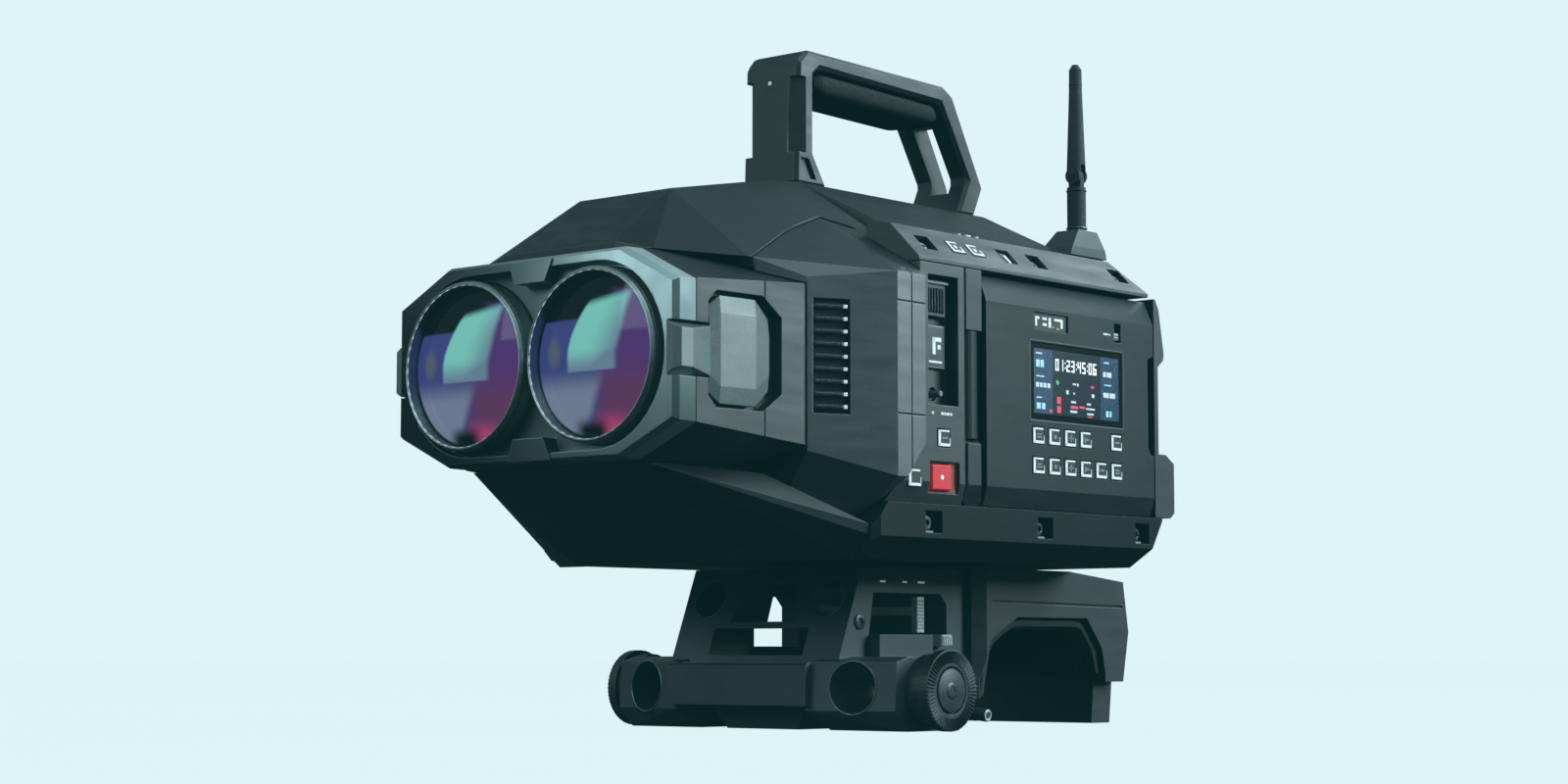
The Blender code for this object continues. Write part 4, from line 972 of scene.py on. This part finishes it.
piece("screen_middle", pixels([(201.4, 233.6, *SCREEN_Z)], BACKING_LIFT), NAVY_LIT, "monitor")
columns = [(188.9, 201.4, *SCREEN_Z), (233.6, 246.1, *SCREEN_Z)]
piece("screen_columns", pixels(columns, BACKING_LIFT), BLUE, "monitor")

SEGMENTS = {
    "0": "abcdef", "1": "bc", "2": "abged", "3": "abgcd", "4": "fgbc",
    "5": "afgcd", "6": "afgedc", "7": "abc", "8": "abcdefg", "9": "abcdfg",
}


DIGIT_WIDTH, DIGIT_HEIGHT, DIGIT_LINE = 2.15, 4.5, 0.62


def digit(character, y, z):
    """The bars of one seven-segment numeral, with its lower front corner at (y, z)."""
    if character == ":":
        return [(y + 0.1, y + 0.6, z + h, z + h + 0.7) for h in (1.0, 2.9)]
    back, top, middle = y + DIGIT_WIDTH, z + DIGIT_HEIGHT, z + DIGIT_HEIGHT / 2
    place_of = {
        "a": (y, back, top - DIGIT_LINE, top),
        "g": (y, back, middle - DIGIT_LINE / 2, middle + DIGIT_LINE / 2),
        "d": (y, back, z, z + DIGIT_LINE),
        "f": (y, y + DIGIT_LINE, middle, top),
        "e": (y, y + DIGIT_LINE, z, middle),
        "b": (back - DIGIT_LINE, back, middle, top),
        "c": (back - DIGIT_LINE, back, z, middle),
    }
    return [place_of[s] for s in SEGMENTS[character]]


clock = []
cursor = 203.1
for character in "01:23:45:06":
    clock += digit(character, cursor, 121.8)
    cursor += 1.25 if character == ":" else 3.1
piece("screen_clock", pixels(clock), SCREEN_WHITE, "monitor")

white_bars = (
    (214.6, 216.8, 116.9, 117.6), (217.4, 218.6, 116.6, 117.7), (210.2, 211.8, 113.0, 114.6),
    (215.0, 216.0, 113.2, 114.0), (227.4, 229.2, 112.8, 114.2), (213.4, 216.6, 109.8, 110.6),
    (212.8, 217.4, 106.0, 106.9), (224.0, 226.8, 109.6, 110.4), (223.4, 229.4, 107.8, 108.5),
    (224.2, 228.6, 105.8, 106.5), (190.2, 192.2, 114.6, 116.4), (192.8, 194.4, 114.6, 116.4),
    (195.0, 197.0, 114.6, 116.4), (197.6, 199.6, 114.6, 116.4), (235.4, 237.4, 121.6, 123.6),
    (238.0, 241.2, 121.6, 123.6), (235.4, 239.2, 113.4, 115.4), (239.8, 243.6, 113.4, 115.4),
)
cyan_bars = (
    (190.4, 192.6, 122.4, 125.2), (193.2, 195.4, 122.4, 125.2), (190.6, 193.2, 106.2, 108.6),
    (194.0, 196.2, 106.2, 108.6), (237.2, 239.0, 105.8, 108.2), (239.8, 241.0, 105.8, 108.2),
    (190.4, 194.4, 127.4, 128.0), (236.0, 239.6, 127.0, 127.6), (190.4, 195.6, 118.6, 119.1),
    (236.2, 241.0, 118.2, 118.7), (190.4, 194.0, 110.4, 110.9),
)
red_bars = (
    (204.0, 206.6, 108.9, 111.6), (204.0, 206.6, 105.4, 108.0), (213.0, 218.0, 107.6, 108.7),
    (219.0, 222.6, 108.0, 108.9), (227.0, 229.0, 116.4, 117.4), (199.0, 200.6, 105.2, 106.4),
    (224.6, 227.6, 104.8, 105.3),
)
piece("screen_text", pixels(white_bars), SCREEN_WHITE_DIM, "monitor")
piece("screen_values", pixels(cyan_bars), SCREEN_CYAN, "monitor")
piece("screen_levels", pixels(red_bars), SCREEN_RED, "monitor")
lamp = rod((SCREEN_FACE - 0.02, 204.4, 117.2), (SCREEN_FACE + 0.06, 204.4, 117.2), 0.95, sides=20)
piece("screen_lamp", lamp, SCREEN_GREEN, "monitor")

surround = [
    box((84.2, 85.12), y, z, 0.12)
    for y, z in (
        ((185.6, 249.2), (132.1, 132.7)), ((185.6, 249.2), (101.1, 101.7)),
        ((185.4, 186.2), (101.1, 132.7)), ((248.6, 249.4), (101.1, 132.7)),
    )
]
piece("screen_surround", joined(*surround), SHELL, "monitor")

WINDOW_FLOOR = 84.25
window = box((83.9, WINDOW_FLOOR), (189.1, 211.4), (136.9, 143.3))
piece("icon_window_floor", window, KEY, "monitor")
icon_bars = (
    (190.6, 191.8, 138.2, 142.0), (191.8, 193.4, 141.0, 142.0), (195.4, 198.2, 140.9, 141.9),
    (195.4, 198.2, 138.6, 139.6), (199.4, 201.0, 138.2, 142.0), (203.2, 208.8, 141.0, 142.0),
    (207.4, 208.8, 138.4, 141.0),
)
accent_bars = ((201.8, 203.0, 138.0, 138.8), (204.4, 206.6, 137.7, 138.4))
piece("window_icons", plates(icon_bars, WINDOW_FLOOR), MARK, "monitor")
piece("window_accents", plates(accent_bars, WINDOW_FLOOR), AMBER, "monitor")
piece("lock_slide", box((82.2, 84.4), (243.6, 247.0), (137.0, 139.8), 0.3), LEVER, "monitor")
grips = [box((84.3, 84.6), (243.8, 246.8), z, 0.08) for z in spaced(2, 137.5, 137.9, 1.0)]
piece("lock_slide_grip", joined(*grips), KEY, "monitor")
lock_ticks = ((235.4, 238.6, 138.4, 139.1), (239.4, 240.2, 138.4, 139.1))
piece("lock_ticks", plates(lock_ticks, FACE), MARK, "monitor")


# ---- screws

def screw(where, normal, radius=2.0, length=2.0):
    """A cap screw with a hexagon socket, its head's middle at where."""
    axis = Vector(normal).normalized()
    side = axis.orthogonal().normalized()
    up = axis.cross(side)
    top = at(*where)
    bm = bmesh.new()
    socket = 0.52
    rows = []
    for scale, height in ((0.98, -length), (1.0, -0.2), (0.9, 0.0), (socket, 0.0), (0.5, -0.9)):
        row = []
        for a in turn_parts(24):
            reach = radius * scale
            if scale <= socket:
                reach *= cos(pi / 6) / cos((a % (pi / 3)) - pi / 6)
            offset = (side * cos(a) + up * sin(a)) * reach + axis * height
            row.append(bm.verts.new(top + offset * MM))
        rows.append(row)
    skin(bm, rows)
    bm.faces.new(rows[-1])
    bm.faces.new(rows[0][::-1])
    return bm


TRAY_POCKETS = [(side, y) for side in (1, -1) for y in (126.0, 195.4, 261.5)]
tray_screws = [screw((side * 81.9, y, 60.2), (side, 0, 0), 2.6, 1.3) for side, y in TRAY_POCKETS]
piece("tray_screws", joined(*tray_screws), STEEL)
# pale strips under the tray screws: painted highlights
tray_glints = [
    box((side * 81.6, side * 82.6), (y - 4.4, y + 2.6), (56.5, 57.3), 0.15)
    for side, y in TRAY_POCKETS
]
piece("tray_screw_glints", joined(*tray_glints), DIM_MARK)

rail_screws = [
    turned_to_slope(screw((-side * 1.6, 0, 0), (side, 0, 0), 1.9, 1.2), side, y)
    for side in (1, -1) for y in (130.9, 200.6, 256.5)
]
piece("rail_screws", joined(*rail_screws), STEEL)
RAIL_SWITCH_Y = 181.0
for name, x, y, z, soft, material in (
    ("rail_slide_switch", (-2.2, -0.5), (-2.4, 0.2), (-2.6, 2.6), 0.25, KEY),
    ("rail_slide_mark", (-2.6, -0.9), (0.9, 2.3), (-2.4, 2.4), 0.15, MARK),
):
    piece(name, turned_to_slope(box(x, y, z, soft), 1, RAIL_SWITCH_Y), material)

SLOPE_OUTLINE = (
    (-3.55, -2.5, -3.0, 3.0), (-3.55, 3.55, -3.0, -2.0), (-3.55, 2.6, 2.4, 3.0),
    (3.0, 3.55, -3.0, 0.6), (-0.7, 0.7, -0.7, 0.9),
)
for node, y in (("top_button_1", 148.8), ("top_button_2", 161.0)):
    outline = turned_to_slope(plates(SLOPE_OUTLINE, 0.3, 0.08), 1, y)
    piece(node + "_outline", outline, MARK, node)
rail_ticks = [
    box((70.4, 71.3), (y, y + width), (171.2, 171.75))
    for y, width in ((160.0, 0.8), (164.5, 2.6), (171.0, 0.8))
]
piece("rail_ticks", joined(*rail_ticks), MARK)


# ---- handle

def grip_sleeve():
    """A rounded rubber sleeve round the handle's bar, with slanting ribs on its sides."""
    along = 260
    front, rear = 144.9, 222.8
    half_width, rib_pitch, rib_height = 13.5, 2.6, 0.42
    bm = bmesh.new()
    rows = []
    for i in range(along + 1):
        t = i / along
        y = front + (rear - front) * t
        top = 240.4 - 2.3 * t
        low = 230.6 - 1.7 * t
        ease = min(1.0, min(t, 1 - t) * 14)
        squeeze = 0.55 + 0.45 * sin(ease * pi / 2)
        centre, half_height = (top + low) / 2, (top - low) / 2 * squeeze
        row = []
        for a in turn_parts(60):
            c, s = cos(a), sin(a)
            x = copysign(abs(c) ** 0.5, c) * (half_width - 0.4) * (0.75 + 0.25 * squeeze)
            z = centre + copysign(abs(s) ** 0.5, s) * half_height
            ribbed = max(0.0, min(1.0, (z - low - 2.6) / 1.2)) * min(1.0, min(t, 1 - t) * 20)
            slant = y * 0.9 + z * 0.75 * copysign(1.0, x)
            wave = max(-0.5, min(0.5, sin(2 * pi * slant / rib_pitch)))
            x += copysign(rib_height * ribbed * wave, x) * min(1.0, abs(c) * 1.6)
            row.append(bm.verts.new(at(x, y, z)))
        rows.append(row)
    skin(bm, rows)
    bm.faces.new(rows[0][::-1])
    bm.faces.new(rows[-1])
    return bm


grip = piece("grip_sleeve", grip_sleeve(), GRIP_RUBBER, angle=60)
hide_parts("handle_grip")

TALLY_X, TALLY_Z = -0.5, 235.0
lamp = rod((TALLY_X, 132.4, TALLY_Z), (TALLY_X, 133.4, TALLY_Z), 0.85, sides=20, soft=0.12)
piece("tally_lamp", lamp, MARK)
piece("tally_bezel", ring((TALLY_X, 132.75, TALLY_Z), (0, 1, 0), 1.3, 0.25, 28, 8), KEY)


# ---- antenna

ANTENNA_X, ANTENNA_Y = 52.0, 265.0
for name, z, radius, tube, material, body, slot in (
    ("antenna_tip_band", 247.5, 2.62, 0.22, KEY, "antenna_whip", "rubber"),
    ("antenna_collar", 203.0, 3.95, 0.3, KEY, "antenna_knuckle", "rubber"),
    ("antenna_foot_ring", 187.4, 3.95, 0.45, STEEL, "antenna_knuckle", None),
):
    band = ring((ANTENNA_X, ANTENNA_Y, z), (0, 0, 1), radius, tube, 36, 8)
    piece(name, band, material, body)
ends = [(ANTENNA_X, ANTENNA_Y + reach, 209.4) for reach in (-3.3, 3.3)]
piece("antenna_pivot", rod(*ends, 1.1, sides=20, soft=0.1), STEEL, "antenna_whip")
piece("connector_cap", rod((46.5, 262.0, 174.6), (46.5, 262.0, 174.7), 3.0, sides=24), KEY)


# ---- base

ROSETTE_Y, ROSETTE_Z, ROSETTE_FACE = 141.0, -1.0, 81.0
TEETH = 60
TOOTH_HALF = 2 * pi / TEETH * 0.46
KNURLS, KNURL_REACH = 96, 14.68
ROD_15_X, ROD_19_X = 30.0, 52.4


def tooth_ring(side):
    """Radial teeth round a rosette's face."""
    bm = bmesh.new()
    for a in turn_parts(TEETH):
        points = []
        for radius, crest in ((10.2, 0.55), (14.6, 0.8)):
            for turn, lift in ((-TOOTH_HALF, 0.0), (TOOTH_HALF, 0.0), (0, crest)):
                points.append(bm.verts.new(at(
                    side * (ROSETTE_FACE - 0.1 + lift),
                    ROSETTE_Y + radius * cos(a + turn),
                    ROSETTE_Z + radius * sin(a + turn),
                )))
        for face in ((0, 1, 2), (3, 5, 4), (0, 3, 4, 1), (1, 4, 5, 2), (2, 5, 3, 0)):
            bm.faces.new([points[k] for k in face])
    return bm


def rosette_rod(side, y, z, inner, outer, radius, sides, soft=0.0):
    """A rod along X, at (y, z) from a rosette's middle and between two distances outward."""
    ends = [(side * x, ROSETTE_Y + y, ROSETTE_Z + z) for x in (inner, outer)]
    return rod(*ends, radius, sides, soft)


for side, label in ((1, "left"), (-1, "right")):
    piece("rosette_teeth_" + label, tooth_ring(side), STEEL_DARK, angle=20)
    disc = rosette_rod(side, 0, 0, 79.2, 81.3, 8.2, 48, 0.5)
    piece("rosette_disc_" + label, disc, SHELL)
    bolt = screw((side * 81.5, ROSETTE_Y, ROSETTE_Z), (side, 0, 0), 3.2, 1.2)
    piece("rosette_bolt_" + label, bolt, STEEL_DARK)
    pins = [rosette_rod(side, y, z, 80.6, 81.25, 1.15, 18) for y, z in ((5.6, 9.6), (-5.6, -10.6))]
    piece("rosette_pins_" + label, joined(*pins), DARK)
    knurls = []
    for a in turn_parts(KNURLS):
        y, z = KNURL_REACH * cos(a), KNURL_REACH * sin(a)
        knurls.append(rosette_rod(side, y, z, 77.3, 80.7, 0.28, 6))
    piece("rosette_knurl_" + label, joined(*knurls), STEEL_DARK)
    rim19 = ring((side * ROD_19_X, 118.6, 0.0), (side * -0.189, 1, -0.055), 9.85, 0.34, 56, 8)
    piece("rod19_bore_rim_" + label, rim19, RIM_DIM)
    rim15 = ring((side * ROD_15_X, 131.55, 33.8), (0, 1, -0.4), 7.8, 0.32, 48, 8)
    piece("rod15_bore_rim_" + label, rim15, RIM_DIM)

piece("cheek_screw", screw((43.2, 134.6, 24.5), (1, 0, 0), 3.0, 1.0), STEEL_DARK)
tab = [box((42.0, 48.4), (177.6, 184.4), (15.3, 19.9), 0.5)]
tab += [box((48.2, 48.7), y, (15.9, 19.3), 0.1) for y in spaced(4, 178.4, 179.0, 1.4)]
piece("safety_tab", joined(*tab), LEVER)
lever_ribs = [box((47.7, 48.05), (163.2, 166.8), z, 0.1) for z in spaced(9, 22.0, 22.5, 1.3)]
piece("lever_ribs", joined(*lever_ribs), DIM_MARK, "release_lever")
base_marks = [(y, y + width, 39.6, 40.3) for y, width in ((147.0, 3.2), (160.6, 2.6), (170.0, 4.2))]
piece("base_marks", plates(base_marks, 42.5, 0.1), MARK)
lever_end = ring((78.9, 165.6, -10.5), (1, 0, -0.1), 1.75, 0.5, 28, 8)
piece("clamp_lever_end", lever_end, LEVER, "rod_clamp_lever")
piece("wedge_rails", box((-16, 16), (131, 191), (-15.9, -14.0), 0.6), ANODISED)


# ---- rear and right side

SOCKETS_X, SOCKETS_Z = (-62, -46), 79.5


def rear_rods(inner, outer, radius):
    """A disc on each of the two rear sockets."""
    return [
        rod((x, inner, SOCKETS_Z), (x, outer, SOCKETS_Z), radius, sides=32, soft=0.1)
        for x in SOCKETS_X
    ]


contacts = [box(x, (283.9, 284.35), (98.5, 103.5), 0.1) for x in spaced(6, -9.0, -7.2, 3.6)]
piece("battery_contacts", joined(*contacts), BRASS)
corners = ((-33, 101), (33, 101), (-33, 146))
plate_screws = [screw((x, 284.3, z), (0, 1, 0), 1.8, 1.0) for x, z in corners]
piece("battery_plate_screws", joined(*plate_screws), STEEL)
piece("rear_socket_rims", joined(*rear_rods(285.0, 285.35, 5.2)), STEEL_DARK)
flaps = [
    box((-28, -8), (284.9, 285.45), (75.6, 83.4), 0.15),
    box((10, 58), (284.9, 285.4), (75.0, 84.0), 0.15),
]
piece("rear_socket_caps", joined(*rear_rods(285.2, 285.6, 3.9), *flaps), PAD_RUBBER)
corners = [(y, z) for y in (184.0, 262.0) for z in (94.0, 140.0)]
side_screws = [screw((-85.25, y, z), (-1, 0, 0), 1.9, 1.0) for y, z in corners]
piece("right_cover_screws", joined(*side_screws), STEEL)


# ---- shoulder pad

PAD_LINE = (
    (205.0, -4.2), (207.6, 6.0), (210.2, 16.0), (219.0, 21.2), (227.1, 24.5), (240.0, 24.5),
    (256.0, 24.5), (272.7, 24.5), (277.4, 19.4), (282.1, 13.9), (284.7, 4.6),
)
PAD_THICK = 3.4


def rounded_path(points):
    """Chaikin smoothing that keeps both ends."""
    for _ in range(3):
        fresh = [points[0]]
        for (ay, az), (by, bz) in zip(points, points[1:]):
            fresh.append((0.8 * ay + 0.2 * by, 0.8 * az + 0.2 * bz))
            fresh.append((0.2 * ay + 0.8 * by, 0.2 * az + 0.8 * bz))
        fresh.append(points[-1])
        points = fresh
    return points


def ribbed_pad():
    """The rubber lining of the shoulder arch: ribs that follow the arch, thinner at its rims."""
    path = rounded_path(PAD_LINE)
    half_width, pitch, across = 46.6, 3.1, 240
    bm = bmesh.new()
    inner, outer = [], []
    for index, (y, z) in enumerate(path):
        before, after = path[max(0, index - 1)], path[min(len(path) - 1, index + 1)]
        along = Vector((0, after[0] - before[0], after[1] - before[1])).normalized()
        down = Vector((0, along.z, -along.y))
        end = min(1.0, min(index, len(path) - 1 - index) / 5)
        low, high = [], []
        for j in range(across + 1):
            x = -half_width + 2 * half_width * j / across
            rim = min(1.0, (half_width - abs(x)) / 2.5)
            crown = sqrt(max(0.0, rim)) * (0.5 + 0.5 * end)
            rib = 0.55 * max(-0.55, cos(2 * pi * x / pitch))
            base = Vector((x, y, z))
            depth = PAD_THICK / 2 * (0.45 + 0.55 * crown) + rib * rim * end
            low.append(bm.verts.new(at(*(base + down * depth))))
            high.append(bm.verts.new(at(*(base - down * PAD_THICK / 2 * 0.8))))
        inner.append(low)
        outer.append(high)
    for a, b, flip in ((inner[:-1], inner[1:], False), (outer[:-1], outer[1:], True)):
        for first, second in zip(a, b):
            for j in range(across):
                face = (first[j], first[j + 1], second[j + 1], second[j])
                bm.faces.new(face[::-1] if flip else face)
    for low, high in ((inner[0], outer[0]), (inner[-1], outer[-1])):
        for j in range(across):
            bm.faces.new((low[j], low[j + 1], high[j + 1], high[j]))
    for j in (0, across):
        for i in range(len(path) - 1):
            bm.faces.new((inner[i][j], inner[i + 1][j], outer[i + 1][j], outer[i][j]))
    return bm


pad = piece("ribbed_shoulder_pad", ribbed_pad(), PAD_RUBBER, angle=60)
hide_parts("shoulder_pad")

shoulder_line = ((200.4, 24.0), (209.5, 33.2), (299.5, 32.0))
seam_lines = []
for side in (1, -1):
    for (ay, az), (by, bz) in zip(shoulder_line, shoulder_line[1:]):
        seam_lines.append(((side * 49.0, ay, az), (side * 49.0, by, bz), (side, 0, 0)))
groove("shoulder_shell", [line for line in seam_lines if line[1][1] > 209.6], 0.9, 0.7)
